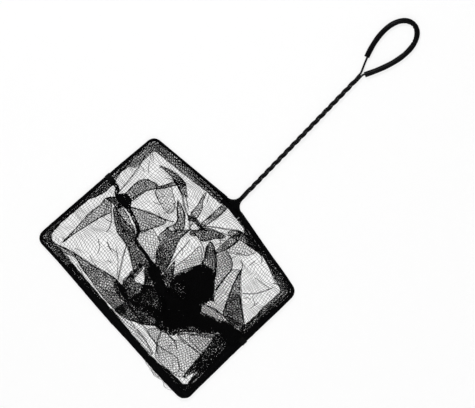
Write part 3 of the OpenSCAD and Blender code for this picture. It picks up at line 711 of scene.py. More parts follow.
# %% Creases
CREASES = read_rows("""2.2: -114,70 -110,58 -107,48 -105,36 -103,22 -102,14;
1.2: -117,78 -110,73 -104,69;
1.2: -114,79 -108,75 -102,70;
1: -105,67 -101,62 -96,57;
1.6: -87,19 -85,30 -82.5,40 -79,47;
1.4: -96,20 -96.5,40 -93,48 -86,52 -76,55;
1.6: -79,48 -74,54 -69,61 -65,68 -62,73;
1.2: -74,55 -71,61 -69,69;
1: -78,48 -68,45 -61,43.5 -57,46;
1.6: -94,71.5 -85,76 -74,80 -57,80.5;
2.6: -62,72 -50,68.5 -40,62 -30,58 -24,55.5;
1.6: -50,72 -42,68 -33,62.5;
1.2: -60,62 -55,59.5 -50,57;
1: -79,66 -74,70 -68,73;
2: -80,14.5 -71,20 -60,27 -48,32 -38,37 -33,40.5;
1.2: -50,4 -46,14 -42,26;
1: -48,47 -47,42 -49,38;
2: -48,59.5 -40,51.5 -31.5,44 -31,37 -33,31 -33.5,20;
1.6: -46,60 -36,57.5 -28,52 -20,44 -19,37 -24,34 -28,30;
2.2: -14,49 -15,40 -14,28 -9,20 -3,6 0,-8;
3.6: -28,57 -22,60 -15,60.5 -8,60 0,60.5;
2.6: -27,57 -20,53 -14,48 -8,53 -5,60;
1.6: -20,60 -18,55 -16,51;
1.2: -34,90 -31,79 -28,68 -27,60;
1.2: -30,93.5 -27,88 -24,84;
1.2: -10.5,96 -10,80 -11,62;
1.2: -4,96 -3.5,78 -5,64;
2.2: -5,63 2,70 15,80.5 27,89.5 40,92.5 55,94;
1.8: -2,61 8,69 20,76 32,80.5;
1.8: 28,88 29,80 33,78 32.5,68 29,57 26,52;
1.6: -12,50 -5,49 4,48 14,44 20,40 26,29;
1.4: -6,40 -4,32 -3,20 -1,8 1,-6;
1.6: 13,56 22,54 31,49 38,42 47,33;
1: 46.5,75 44,70 42,67;
1.8: 40,62 48,58 52.5,52 54.5,40 56,30 57,24;
1.4: 52,68 58,65 61,60 66,45 76,24 84,11;
1.2: 61,60 75,47 95,31 114,18;
1: 93,32 92,22 92,14;
1.4: 62,2 74,7 85,9 92,12;
1.6: 82,43 90,51 96,61 101,74;
1.4: 58,88.5 66,88 71,83;
1.8: 97,77 103,81 110,82.5;
1: 78,66 88,68 98,70;
1.4: 57,91 80,88 94,85 98,80;
1.4: 110,51 112.5,36 114,20;
1.4: -92,-5 -84,-12 -79,-20 -77.5,-26;
1.2: -103,-1 -97,-10 -92,-16;
1.2: -107,0 -106,-20 -106,-40 -103.5,-58 -103,-73;
1: -91,-5 -94,-16 -98,-36 -101,-54 -103,-73;
2: -50,-20 -44,-30 -37,-40 -30,-50 -26,-55;
1.2: -57,-30 -47,-36 -39,-43 -31,-52;
1: -78,-38 -69,-45 -66,-51;
1.2: -88,-65.5 -82,-63;
1.6: -70,-16 -58,-17.5 -48,-20 -36,-26 -25,-32;
1.8: -53,-5 -51,-12 -50,-20;
2.6: -21,-20 -21,-35 -23,-47 -19,-53;
1.4: -104,-78 -88,-71 -60,-63.5 -40,-57 -28,-54;
1.4: -104,-78 -92,-74 -80,-72.5 -66,-74.5;
3: -27,-56 -12,-60 0,-63 14,-65.5;
2.2: 12,-65 28,-67 45,-69.5 58,-71;
3: 44,-45 49,-53 54,-63 59,-71 67,-78;
1.8: 58,-71 72,-67.5 86,-64 93,-67 98,-70 105,-68.5;
1.6: 30,-75.5 44,-76.5 54,-79.5 63,-82.5;
1.2: 84,-69 88,-72 90.5,-75.5;
1.2: 98,-70 98.5,-75 96,-79;
1.8: 65,-45 74,-44.5 82,-43;
1: 82,-43 92,-42 102,-40.5;
1.6: 50,-50 58,-53 68,-53 74,-54.5 79,-58;
2: 97.5,-12 101,-30 104,-52 107,-72 112,-71;
1.2: 59,-71 66,-74 72,-79;
1.8: -5.7,-78.1 2.3,-67.3 12.4,-60.7 23.8,-53.1 37.6,-45.4;
1.4: -16.9,-52.1 -20.1,-46.9 -20,-35.7 -20.4,-26.3;
2.4: -21.2,-54.4 -10.8,-56.5 3.2,-65.9;
2: -11.8,-46.6 -8.9,-39.1 1.7,-33 8.5,-27.9;
1.6: -8.3,-46.4 -2.3,-37.9 8.1,-30.9 19,-31.2 27.8,-36.5;
3: -11.7,-10.6 0.4,-17.1 15.5,-25.3 30.7,-35.8 44.5,-47.7;
1.2: -12.2,-50.7 -6.2,-53.9 4,-57.6 14.4,-53.6 21.1,-46.2;
1.6: 22.3,-20.2 13.6,-10 14,5.3 19.3,18.5 24.2,27.6""")

# %% [markdown]
# ## The shape of the bag's floor
# The netting hangs from the hem at the wire's height, sags to the table within about 15 mm, is lifted
# a little along each crease, and climbs where it is bunched into the heap. Its height is worked out at
# any point from the distances to the hem, the creases and the heap.

# %% Hem outline and heights
HEM_OUTLINE = np.array([NEAR_LEFT, FAR_LEFT, FAR_RIGHT, NEAR_RIGHT, CROSSING])
HEAP_AT = np.array([0.23 * half_near, -0.2 * half_depth])
HEAP_HALF, HEAP_AXIS = (54.0, 39.0), heading(np.radians(-8))
SAG_START, SAG_WIDTH = 6.0, 16.0  # how far from the hem the cloth starts to fall, and how far that takes
HEM_RISE, HEAP_FOOT = 2.9, 2.2  # the floor's height at the hem, and how much the heap adds to it
REST_Z, REST_WAVE, RIDGE_WIDTH = 0.75, 0.35, 3.2  # the floor on the table: height, waves, creases
CORNER_STEPS = 12  # points in each corner's arc


def inset(outline, d):
    """A closed outline that runs anticlockwise, moved inwards by d."""
    m, n = to_left(unit(outline - np.roll(outline, 1, axis=0))), to_left(unit(np.roll(outline, -1, axis=0) - outline))
    return outline + (m + n) * d / (1 + (m * n).sum(1, keepdims=True))


def rounded(outline, r):
    """A closed outline with an arc of radius r at each corner."""
    p = np.concatenate([outline[-1:], outline, outline[:1]])
    return arcs(list(p), [r] * len(outline), CORNER_STEPS)[1:-1]


def gap_to(points, line):
    """Least distance from each point to a line of straight runs."""
    a, span = line[:-1], line[1:] - line[:-1]
    t = ((points[..., None, :] - a) * span).sum(-1) / np.maximum((span * span).sum(-1), 1e-9)
    return np.linalg.norm(points[..., None, :] - (a + np.clip(t, 0, 1)[..., None] * span), axis=-1).min(-1)


def heap_lift(xy):
    """1 at the heap's middle, 0 at its edge: (1 - r^2)^1.5 over a turned ellipse."""
    u, v = (((xy - HEAP_AT) * axis).sum(-1) / half for axis, half in zip((HEAP_AXIS, to_left(HEAP_AXIS)), HEAP_HALF))
    return np.clip(1 - u * u - v * v, 0, 1) ** 1.5


def looped(line):
    """A line with its first point once more at its end."""
    return np.concatenate([line, line[:1]])


hem_line = looped(rounded(HEM_OUTLINE, CORNER_R))
crease_lines = [(w, smooth_line(line, 3.0)) for w, line in CREASES]


def ground(xy):
    """Height of the panels: from the hem's height down to the table, with ridges at creases."""
    from_hem = gap_to(xy, hem_line)
    fall = np.clip((from_hem - SAG_START) / SAG_WIDTH, 0, 1)
    fall = fall * fall * (3 - 2 * fall)
    ridge = np.zeros(xy.shape[:-1])
    for w, line in crease_lines:
        ridge = np.maximum(ridge, (0.9 + 0.9 * w) * np.exp(-((gap_to(xy, line) / RIDGE_WIDTH) ** 2)))
    rest = REST_Z + REST_WAVE * (1 + waves(xy, 91, 38.0)) + ridge * np.clip((from_hem - 8) / 10, 0, 1)
    return HEM_RISE * (1 - fall) + rest * fall + HEAP_FOOT * heap_lift(xy)


# %% [markdown]
# The height is worked out once, on a grid of 1.5 mm, and every thread end reads it from there.

# %% Height map
MAP_START, MAP_STOP, MAP_STEP = (-132.0, -96.0), (132.1, 112.1), 1.5
map_x, map_y = (np.arange(start, stop, MAP_STEP) for start, stop in zip(MAP_START, MAP_STOP))
FLOOR = ground(pair(*np.meshgrid(map_x, map_y, indexing="ij")))
print("the floor map is", FLOOR.shape, "points, from", FLOOR.min().round(2), "to", FLOOR.max().round(2), "mm high")


def height(xy):
    """The floor map read between its four nearest points."""
    u = (xy - MAP_START) / MAP_STEP
    i = np.clip(np.floor(u).astype(int), 0, np.array(FLOOR.shape) - 2)
    x, y, f, g = i[..., 0], i[..., 1], u[..., 0] - i[..., 0], u[..., 1] - i[..., 1]
    near, far = FLOOR[x, y] * (1 - g) + FLOOR[x, y + 1] * g, FLOOR[x + 1, y] * (1 - g) + FLOOR[x + 1, y + 1] * g
    return near * (1 - f) + far * f


def lift(flat, extra):
    """Flat thread pieces as pieces in space, at the bag floor's height plus an extra."""
    return raised(flat, height(flat) + extra)


# %% [markdown]
# ## Panels and folds
# A panel is one layer of mesh over its share of the hoop, from the hem to the seams. Each fold adds
# its own layers a little above, with two threads round its outline, where the cloth turns. Beyond the
# second, a layer covers only part of the fold, so that its darkness is as uneven as in real cloth.

# %% Panels
LOWEST, LAYER_GAP = 0.5, 0.45  # the first layer above the floor, and each layer above the last
PATCH_SIZE, PATCH_LIMIT = 26.0, -0.4  # size of a layer's gaps, and the wave value below which they open
REACH = 200.0  # well outside the hoop


def edge_threads(ring, seed, count, jitter, width, step):
    """Threads round an outline, each a little off it and a step above the last."""
    lines = [ring + jitter * rng(seed + k).normal(size=ring.shape) for k in range(count)]
    return [(width, lift(along_line(line), LOWEST + step * k)) for k, line in enumerate(lines)]


def fold(layers, degrees, outline, seed):
    """A fold's layers above the panel: each a mesh turned a little from the last, with a small gap between."""
    edge = smooth_line(outline, 1.5, closed=True)
    parts = []
    for k in range(layers - 1):
        flat = lattice(edge, np.radians(degrees + (7.0 if k % 2 else -5.0) * (k + 1)), seed + 13 * k)
        if k > 1:
            flat = flat[waves(flat.mean(1), seed + 5 + k, PATCH_SIZE) > PATCH_LIMIT]
        parts.append((FOLD_W, lift(flat, LOWEST + LAYER_GAP * k)))
    return parts + edge_threads(looped(edge), seed, min(layers - 1, 2), 0.2, BUNCH_W, LAYER_GAP * (layers - 2))


def gather(make, table, seed, step):
    """What make gives for every row of a table, each row with a seed of its own."""
    return [part for number, row in enumerate(table) for part in make(*row, seed + step * number)]


near_side = np.concatenate([[(-REACH, LEFT_SEAM_Y)], smooth_line(ROUTE, 2.0),
                            [(REACH, RIGHT_SEAM_Y), (REACH, REACH), (-REACH, REACH)]])
base_mesh = lattice(rounded(inset(HEM_OUTLINE, 3.0), 7.0), 0.0, 5, bend=3.0)
is_near = inside(base_mesh.mean(1), near_side)
near_parts, far_parts = ([(SINGLE_W, lift(base_mesh[which], 0.0))] for which in (is_near, ~is_near))
print("thread pieces in the single layer:", len(base_mesh))

near_parts += gather(fold, NEAR_FOLDS, 100, 31)
far_parts += gather(fold, FAR_FOLDS, 2100, 31)

# %% [markdown]
# A crease is a few threads drawn together into a roll. Between the measured ones lie many short
# wrinkles, as slack netting has everywhere. They are scattered by a seeded generator and point
# roughly at the heap, from which the pull comes.

# %% Creases and wrinkles
CREASE_GAP = 0.55


def crease(width, line, seed):
    """A roll of netting: threads side by side, 0.55 mm apart, that wander and cross a little."""
    count = max(2, int(round(width / CREASE_GAP)))
    path = smooth_line(line, 2.0)
    side = to_left(unit(np.gradient(path, axis=0)))
    local = rng(seed)
    taper = np.sin(np.pi * np.linspace(0.12, 0.88, len(path)))[:, None]
    parts = []
    for k in range(count):
        place = k - (count - 1) / 2
        off = place * CREASE_GAP + local.normal(0, 0.16, len(path))
        extra = LOWEST + 0.3 * np.cos(np.pi * place / count) + 0.15 * (k % 2)
        parts.append((SINGLE_W, lift(along_line(path + side * off[:, None] * taper), extra)))
    return parts


def wrinkles(count, seed):
    """Short bent lines at random places, turned towards the heap, mostly within about 35 degrees."""
    local = rng(seed)
    start = pair(local.uniform(-112, 112, count), local.uniform(-78, 84, count))
    pull = np.arctan2(*(HEAP_AT - start)[:, ::-1].T) + local.normal(0, 0.6, count)
    length, bow = local.uniform(5, 17, (count, 1)), local.normal(0, 1.2, (count, 1))
    way = heading(pull)
    lines = np.stack([start, start + 0.5 * length * way + bow * to_left(way), start + length * way], axis=1)
    return [(1.0, line) for line in lines]


for number, (width, line) in enumerate(CREASES + wrinkles(60, 21)):
    parts = near_parts if inside(line[len(line) // 2], near_side) else far_parts
    parts += crease(width, line, 4100 + number)

# %% [markdown]
# ## The heap
# Where both panels end they lie crumpled on each other, about a dozen layers deep, and look black. Each
# layer has its own sharp folds, which are the ridges of the absolute value of slow waves. It stops a
# little short of the one below, and in one thin place the upper layers are left out, so the heap isn't
# evenly black.

# %% Heap
THIN_AT, THIN_HALF, THIN_SHARE = (31.0, -9.0), (13.0, 9.5), 0.62  # the thin place, and the layers it lacks
HEAP_RISE, HEAP_TOP, HEAP_GAP = 15.0, 19.8, 0.35  # height at the middle, its limit, and a layer's share
STEP_BACK, RIDGE_SHARE = 0.28, 0.28  # how far each layer stops short, and how much its folds change it


def crumpled(layers, degrees, outline, seed):
    """Layers of mesh over an outline, shared out between the bag's floor and the heap's top."""
    edge = smooth_line(outline, 1.5, closed=True)
    ring = looped(edge)
    parts = []
    for k in range(layers):
        flat = lattice(edge, np.radians(degrees + 37 * k), seed + 13 * k, bend=2.5)
        middle = flat.mean(1)
        short = gap_to(middle, ring) < STEP_BACK * k * (1 + 0.5 * waves(middle, seed + 3 * k, 40.0))
        thin = np.exp(-((((middle - THIN_AT) / THIN_HALF) ** 2).sum(-1) ** 2))
        flat = flat[~short & (k < layers - THIN_SHARE * layers * thin)]
        crumple = 1 - RIDGE_SHARE + RIDGE_SHARE * (1 - np.abs(waves(flat, seed + k, 26.0)))
        z = height(flat) + LOWEST + HEAP_GAP * k + (k + 0.5) / layers * HEAP_RISE * heap_lift(flat) * crumple
        parts.append((BUNCH_W, raised(flat, np.minimum(z, HEAP_TOP))))
    return parts + edge_threads(ring, seed, 4, 0.4, FOLD_W, 0.6)


heap_parts = gather(crumpled, HEAP_FOLDS, 7100, 57)
near_net, far_net, heap_net = (threads(name, parts, netting) for name, parts in (
    ("near_panel_netting", near_parts), ("far_panel_netting", far_parts), ("bunched_netting", heap_parts)))
for piece, node in ((near_net, "near_panel"), (far_net, "far_panel"), (heap_net, "bag_bottom")):
    dress(piece, node)

# %% [markdown]
# ## Hems
# The mouth edge of each panel is folded round the wire and sewn down as a channel. Right at the wire
# the cloth is wound so tight that it is opaque, so there it is a closed tube. Further in it is a band of
# several layers of mesh, of uneven width because the folded edge was sewn down by hand. Everything on
# a hem is placed by how far it has run along the wire and how far inside the wire it lies.

# %% Places on a hem
def hem_stations(start, start_in, corners, stop, stop_in):
    """Run along the wire in steps of 1.5 mm, with the points on the wire and those 11 mm inside it."""
    ends = [np.concatenate([at, at + HEM_W * way])[None] for at, way in ((start, start_in), (stop, stop_in))]
    both = np.concatenate([rounded(HEM_OUTLINE, CORNER_R), rounded(inset(HEM_OUTLINE, HEM_W), HEM_INNER_R)], axis=1)
    both = np.concatenate([ends[0], *[both[i * CORNER_STEPS : (i + 1) * CORNER_STEPS] for i in corners], ends[1]])
    run = run_of(both[:, :2])
    at = np.linspace(0, run[-1], int(round(run[-1] / 1.5)) + 1)
    both = read_off(at, run, both)
    return at, both[:, :2], both[:, 2:]


def side_x(y):
    """Half the hoop's width at y, on a straight line from the far side to the near one."""
    return half_far + (half_near - half_far) * (y + half_depth) / DEPTH


def inward(a, b):
    """Direction to the left of the run from a to b, which is into the hoop."""
    return to_left(unit(b - a))


SEAM_LEFT, SEAM_RIGHT = np.array([-side_x(LEFT_SEAM_Y), LEFT_SEAM_Y]), np.array([side_x(RIGHT_SEAM_Y), RIGHT_SEAM_Y])
LEG_END_LEFT = BEND_LEFT - (RUN_LEFT + SOFT_GAP) * LEG_LEFT
LEG_END_RIGHT = BEND_RIGHT - (RUN_RIGHT + SOFT_GAP) * LEG_RIGHT
left_in, right_in = inward(NEAR_LEFT, FAR_LEFT), inward(FAR_RIGHT, NEAR_RIGHT)
leg_left_in, leg_right_in = inward(CROSSING, NEAR_LEFT), inward(NEAR_RIGHT, CROSSING)
HEMS = {
    "near_hem_left": hem_stations(LEG_END_LEFT, leg_left_in, [0], SEAM_LEFT, left_in),
    "near_hem_right": hem_stations(SEAM_RIGHT, right_in, [3], LEG_END_RIGHT, leg_right_in),
    "far_hem": hem_stations(SEAM_LEFT, left_in, [1, 2], SEAM_RIGHT, right_in),
}
print("hems run", {name: round(float(run[-1]), 1) for name, (run, _, _) in HEMS.items()}, "mm")

# %% [markdown]
# Each band is: how many layers, and its inner edge. The layers add up where bands overlap. A roll is:
# how many threads, and its line.

# %% Bands and rolls of the hems
HEM_BANDS = {
    "near_hem_left": read_rows("""1: 0,10 27,9.5 57,11 88,11.5 112,11.5 125,12.5 145,12.5 151,6.5 162,6 170,8 178,10;
1: 0,9 27,9 57,10 88,11 112,11 125,9.5 145,9 151,6 162,5.5 178,8;
1: 0,8.5 27,9 45,7 57,6 75,6 88,8.5 108,8 120,4 138,3.5 150,5 162,5 178,6;
1: 0,8 15,7 30,3 75,3 88,6 108,6 118,3.5 150,4.5 178,5"""),
    "near_hem_right": read_rows("""2: 0,14 34,12 54,12.5 75,12 104,12 118,9 134,7.5 142,10 154,15 165,12 175,7.5 190,8;
1: 0,13 34,11.5 54,12 75,11.5 104,10.5 118,8.5 134,7 142,9.5 154,14 165,11 175,7 190,7.5;
2: 0,12 34,11 54,8 75,7 104,8.5 118,8 134,7 142,9 154,12.5 165,10 175,6.5 190,7;
3: 0,9 34,6.5 50,6 56,4.5 75,4 104,4 118,6 134,6.3 142,7.5 154,8.3 168,7 179,5.5 190,6"""),
    "far_hem": read_rows("""3: 0,11.2 20,11 28,8.5 36,5.3 45,5 80,5 95,7 104,9.5 116,10.5 143,10.5 158,9.4 173,9 203,8
233,7 263,5.2 293,4.3 313,6 323,8.3 345,10 360,10 372,6 384,5.5 414,8.5 449,11;
2: 0,11 20,10.8 28,8 36,5 45,4.8 80,4.8 95,6.5 104,9 116,10 143,8.5 158,9;
6: 150,9 173,8.8 203,7.7 233,6.8 263,5 293,4.2 313,5.8 323,8 345,9.8 360,9.8 372,5.8 384,5.3 414,8.3 449,10.8;
3: 366,8 378,15 390,17 402,15 414,10"""),
}
HEM_ROLLS = {
    "near_hem_left": read_rows("""3: 0,5.8 25,5.6 50,5.3;
4: 146,4.6 158,4.7 168,5"""),
    "near_hem_right": read_rows("""3: 60,4.5 75,3.6 92,4"""),
    "far_hem": read_rows("""3: 30,4.6 60,4.3 90,4.8"""),
}

# %% [markdown]
# The tube's cloth is slack, so it isn't the same on both sides of the wire: how far along the wire, how
# far the cloth reaches outside it, and how far inside.

# %% Slack of the tube
HEM_TUBES = {
    "near_hem_left": read_points("""0,1.4,2.2 20,1.3,1.5 85,1.3,1.3 100,1.3,1.4 115,1.3,1.3 138,1.6,1.5 158,1.9,1.4
170,1.8,1.5 178,1.8,1.6"""),
    "near_hem_right": read_points("""0,1.7,5.5 20,1.9,5.5 34,2.1,4.6 54,2.4,2 75,2.2,1.4 90,2,1.4 104,2.3,1.4
120,1.9,2.2 134,1.5,2.6 154,1.3,3.3 170,1.3,4 179,1.3,4.5 190,1.3,4"""),
    "far_hem": read_points("""0,2,1.5 20,2,1.4 45,2,1.3 90,2,1.3 104,1.8,1.6 125,1.4,1.9 143,1.3,2 158,1.7,2.6
173,2.1,3.2 203,3.1,5 233,3.8,5.5 263,3.5,4 293,4,2.8 323,4.7,4.5 345,4.2,5 360,3.4,5 372,2.6,4.6 384,2.5,4.6
414,2.1,7 430,2,8 449,2.1,8.5"""),
}


# %% [markdown]
# ## The cloth of a hem
# Four things lie on a hem: bands of mesh, rolls, stray single threads and the threads that wrap the
# tube. Each is drawn flat, as places along and inside the wire, and is then laid on the hem.

# %% Hem cloth
ROLL_W, STRAY_W, WRAP_W, FRAY_W, ROLL_GAP = 0.55, 0.42, 0.45, 0.3, 0.4  # thread widths, and a roll's spacing
BULGE, BULGE_WIDTH, TUBE_TALL = 2.0, 2.4, 2.3  # how mesh bulges over the tube, and half the tube's height


def on_hem(key, places, z):
    """Points on a hem, from how far they have run along the wire and how far inside it they lie."""
    run, *lines = HEMS[key]
    wire, edge = (read_off(places[..., 0], run, line) for line in lines)
    return raised(wire + places[..., 1:] / HEM_W * (edge - wire), z)


def wander(s, seed, size):
    """Slow waves along a line."""
    return waves(pair(s, s * 0), seed, size)


def follow(table, step):
    """Places in equal steps along a hem, and how far inside the wire a table's line lies there."""
    s = np.arange(table[0, 0], table[-1, 0], step)
    return s, np.interp(s, *table.T)


def hem_height(d, side, k):
    """Height of layer k at a distance d inside the wire: it bulges over or under the tube, side = 1 or -1."""
    return AXIS_Z + side * (0.25 + 0.12 * k + BULGE * np.exp(-((d / BULGE_WIDTH) ** 2)))


def band(key, layers, table, seed):
    """Layers of mesh from the wire to a wandering inner edge, by turns above and below the tube."""
    s, d = follow(table, 1.5)
    inner = pair(s, d + 0.45 * wander(s, seed, 13.0))
    outline = np.concatenate([inner, [(s[-1], 0.0), (s[0], 0.0)]])
    parts = []
    for k in range(layers):
        flat = lattice(outline, 0.5 + 0.9 * k, seed + k, bend=0.8)
        parts.append((FOLD_W, on_hem(key, flat, hem_height(flat[..., 1], 1 if k % 2 else -1, k))))
    return parts + [(FOLD_W, on_hem(key, along_line(inner), AXIS_Z + 0.35))]


def roll(key, count, table, seed):
    """Threads side by side along a line on a hem, drawn together like a crease."""
    s, d = follow(table, 2.0)
    d += 0.3 * wander(s, seed, 9.0)
    local = rng(seed)
    lines = [pair(s, d + (k - (count - 1) / 2) * ROLL_GAP + local.normal(0, 0.1, len(s))) for k in range(count)]
    return [(ROLL_W, on_hem(key, along_line(line), AXIS_Z + 1.0)) for line in lines]


def strands(key, count, seed):
    """Single threads that wander along a hem between the wire and the edge of its first band."""
    s, reach = follow(HEM_BANDS[key][0][1], 2.0)
    parts = []
    for k in range(count):
        share = (k + 0.7) / count + 0.5 / count * wander(s, seed + k, 40.0)
        d = share * reach + 0.15 * rng(seed + k).normal(size=len(s))
        parts.append((STRAY_W, on_hem(key, along_line(pair(s, d)), AXIS_Z + 1.1)))
    return parts


# %% [markdown]
# The tube itself is an oval round the wire, and a few frayed threads stick out of the far hem.

# %% Hem tubes
def hem_tube(key, extra, sides, step=1):
    """Rings of the tube: an oval from its outer to its inner reach, at most 2.3 mm half high."""
    run, wire, edge = (a[::step] for a in HEMS[key])
    outer, inner = read_off(run, HEM_TUBES[key][:, 0], HEM_TUBES[key][:, 1:]).T
    half = ((outer + inner) / 2 + extra) * (1 + 0.03 * waves(wire, 31, 9.0))
    tall = np.minimum(half, TUBE_TALL + extra)
    into = unit(edge - wire)
    centre = wire + ((inner - outer) / 2)[:, None] * into
    turn = full_turn(sides)
    flat = centre[:, None, :] + (half[:, None] * np.cos(turn))[..., None] * into[:, None, :]
    return raised(flat, np.maximum(AXIS_Z - tall[:, None] * np.sin(turn), 0.1))


def loose_ends(count, seed):
    """Frayed threads that lie just outside the far hem near its right corner, each a shallow arc."""
    local = rng(seed)
    start, length, out = local.uniform(62, 98, count), local.uniform(7, 20, count), local.uniform(1.5, 5.5, count)
    t = np.linspace(0, 1, 12)[:, None]
    y = FAR_LEFT[1] - 3.2 - out * np.sin(np.pi * t * local.uniform(0.7, 1.0, count))
    lines = raised(pair(start + length * t, y), 1.2).transpose(1, 0, 2)
    return [(FRAY_W, along_line(line)) for line in lines]


for key, slot, node in (("near_hem_left", "near_hem_net", "near_net_edge"), ("near_hem_right", "near_hem_net", None),
                        ("far_hem", "far_hem_net", "far_net_edge")):
    dress(closed_tube(key + "_tube", hem_tube(key, 0.0, 14), hem_cloth), key)
    parts = [(WRAP_W, net_round(hem_tube(key, 0.15, 8, 2)))]
    for make, table, seed, step in ((band, HEM_BANDS, 500, 17), (roll, HEM_ROLLS, 700, 1)):
        parts += gather(make, [(key, *row) for row in table[key]], seed, step)
    parts += strands(key, 11, 740)
    if key == "far_hem":
        parts += loose_ends(14, 760)
    dress(threads(key + "_netting", parts, netting), node)

# %% [markdown]
# ## Stitching
# A lockstitch row holds each hem down: short dashes of thread on both faces, close to the inner edge.
# Each row is a line of points: how far along the wire, and how far inside it.

# %% Stitches
STITCH, STITCH_GAP, STITCH_W, STITCH_LIFT = 2.6, 0.5, 0.55, 1.35
STITCHES = {
    "near_hem_left": read_points("""4,5.5 50,5.5 80,8.4 120,8.4 150,4.5 174,6"""),
    "near_hem_right": read_points("""5,7 50,6.5 82,8 115,7 140,6 155,8 170,5 187,6"""),
    "far_hem": read_points("""5,8.5 28,7 45,4 80,4 100,7.5 150,8 203,6.5 263,4.2 293,3.5 323,6.8 345,8.5 372,5 384,4.5
414,7.5 445,8.5"""),
}


def stitches(key):
    """Dashes in equal steps along the hem, above and below it."""
    table = STITCHES[key]
    s, _ = follow(table, STITCH + STITCH_GAP)
    both = pair(s, s + STITCH)
    places = pair(both, np.interp(both, *table.T))
    return [(STITCH_W, on_hem(key, places, AXIS_Z + z)) for z in (STITCH_LIFT, -STITCH_LIFT)]


near_stitching = stitches("near_hem_left") + stitches("near_hem_right")
dress(threads("near_stitching", near_stitching, sewing_thread, 6), "near_hem_thread")
dress(threads("far_stitching", stitches("far_hem"), sewing_thread, 6), "far_hem_thread")

# %% [markdown]
# ## Seams
# The two panels are sewn together along the side seams, and the spare cloth rolls up there: several
# thin rolls that wander round each other, with a ragged band of mesh over them.

# %% Seams
def bundle(name, path, radius, spread, node, seed, count):
    """Rolls round a path: each keeps a distance from it, at an angle that wanders. They taper at the ends."""
    _, left, up = along_path(path)
    share = np.linspace(0, 1, len(path))
    taper = np.clip(12 * np.minimum(share, 1 - share), 0.1, 1)
    rings = []
    for k in range(count):
        turn = 2 * np.pi * k / count + 2.4 * waves(path[:, :2], seed + k, 28.0)
        line = path + (spread * np.cos(turn))[:, None] * left + (0.5 * spread * np.sin(turn))[:, None] * up
        rings.append(tube(line, radius * taper * (1 + 0.2 * waves(line[:, :2], seed + 9, 5.0)), 10))
    rows, sides = rings[0].shape[:2]
    faces = grid_faces(rows, sides)[None] + (np.arange(count) * rows * sides)[:, None, None]
    points = np.array(rings).reshape(-1, 3)
    points[:, 2] = np.maximum(points[:, 2], 0.05)
    dress(new_object(name, to_frame(points), faces.reshape(-1, 4), hem_cloth), node)


def ragged(path, half, seed, layers=4):
    """Layers of mesh along a path, with both edges jagged by up to a millimetre or so."""
    _, left, _ = along_path(path)
    local = rng(seed)
    jag = [(half + 0.5 * local.normal(size=len(path)))[:, None] * left[:, :2] for _ in range(2)]
    outline = np.concatenate([path[:, :2] + jag[0], (path[:, :2] - jag[1])[::-1]])
    return [(FOLD_W, lift(lattice(outline, 0.3 + 0.7 * k, seed + k), 0.6 + 0.9 * k)) for k in range(layers)]


SEAM_LIFT = 1.5
left_seam, right_seam = (lift(smooth_line(route, 1.5), SEAM_LIFT) for route in (LEFT_ROUTE, RIGHT_ROUTE))
# the left seam is fatter near its tack: shares of its length, and the factors there
SWELL_AT, SWELL_BY = (0, 0.1, 0.14, 0.22, 0.3, 0.5, 1), (1.1, 1.1, 2.0, 2.0, 1.3, 1.2, 1.2)
swell = np.interp(np.linspace(0, 1, len(left_seam)), SWELL_AT, SWELL_BY)
bundle("left_seam_rolls", left_seam, 0.75, 1.2 * swell, "left_side_seam", 61, 4)
bundle("right_seam_rolls", right_seam, 1.2, 2.6, "right_side_seam", 67, 5)
dress(threads("seam_netting", ragged(left_seam, 2.4, 71) + ragged(right_seam, 3.6, 73), netting), None)

# %% [markdown]
# At the hem each seam is folded over the wire and tacked with many turns of thread, which look black.

# %% Tacks
TACK_TURNS, TACK_STEPS, TACK_THREAD = 13, 36, 0.65  # turns, points in each, and the thread's width
TACK_W, TACK_OUT = 6.8, 2.8  # width along the hem, and how far it reaches outside the wire's axis


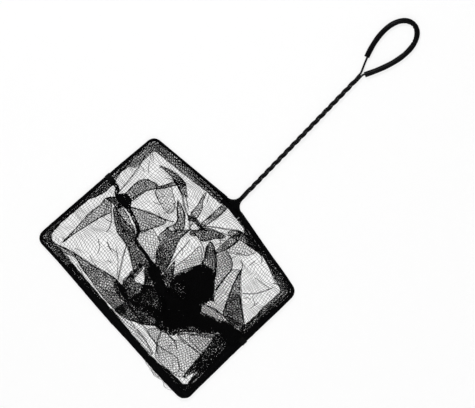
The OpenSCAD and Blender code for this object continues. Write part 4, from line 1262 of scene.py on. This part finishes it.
def tack(name, at, way, depth, node):
    """Turns of thread wound round the hem: d = depth / 2 * (1 + cos) - 2.8 mm, z = axis + a flat sine."""
    t = np.linspace(0, TACK_TURNS, TACK_TURNS * TACK_STEPS + 1)
    turn = 2 * np.pi * t
    d = depth / 2 - TACK_OUT + (depth / 2) * np.cos(turn)
    z = AXIS_Z + np.sin(turn) * (2.5 - 0.7 * np.cos(turn))
    flat = at + d[:, None] * to_left(way) + ((t / TACK_TURNS - 0.5) * TACK_W)[:, None] * way
    path = raised(flat, np.maximum(z, 0.4))
    path += rng(3).normal(0, 0.05, path.shape)
    dress(threads(name, [(TACK_THREAD, along_line(path))], sewing_thread, 6), node)


tack("left_tack_threads", SEAM_LEFT, unit(FAR_LEFT - NEAR_LEFT), 13.5, "left_seam_tack")
tack("right_tack_threads", SEAM_RIGHT, unit(NEAR_RIGHT - FAR_RIGHT), 14.5, "right_seam_tack")

# %% [markdown]
# ## The web in the crotch
# Where the two near legs meet, the hem's netting is gathered into a small black web that fills the
# angle under the handle. It is a thin pad with layers of mesh on both faces.

# %% Crotch web
WEB_ALONG, WEB_IN, WEB_HALF = 3.0, 8.5, 1.7  # reach along each leg, reach inwards, half its thickness


def pad(name, outline, half, material):
    """A thin pad: rings that shrink to the outline's middle, at heights of half * cos, by a share of sin^0.5."""
    outline = spaced(looped(outline), 1.2)[:-1]
    middle = (outline.min(0) + outline.max(0)) / 2
    turn = np.linspace(0, np.pi, 15)[1:-1, None]
    flat = middle + np.sin(turn)[..., None] ** 0.5 * (outline - middle)
    points = raised(flat, AXIS_Z + half * np.cos(turn))
    return closed_tube(name, points if len(outline) % 2 == 0 else points[:, :-1], material)


left_end, right_end = LEG_END_LEFT - WEB_ALONG * LEG_LEFT, LEG_END_RIGHT - WEB_ALONG * LEG_RIGHT
web_outline = np.array([*hoop_path[:18], left_end, left_end + WEB_IN * leg_left_in, inset(HEM_OUTLINE, 9.0)[4],
                        right_end + WEB_IN * leg_right_in, right_end, *hoop_path[-18:]])
dress(pad("crotch_web_cloth", web_outline, WEB_HALF, hem_cloth), "crotch_web")
web_parts = [(FOLD_W, raised(lattice(web_outline, np.radians(20 * k), 900 + k, bend=0.6), z))
             for k, z in enumerate((1.2, 1.7, 4.9, 5.3))]
dress(threads("crotch_web_netting", web_parts, netting), None)
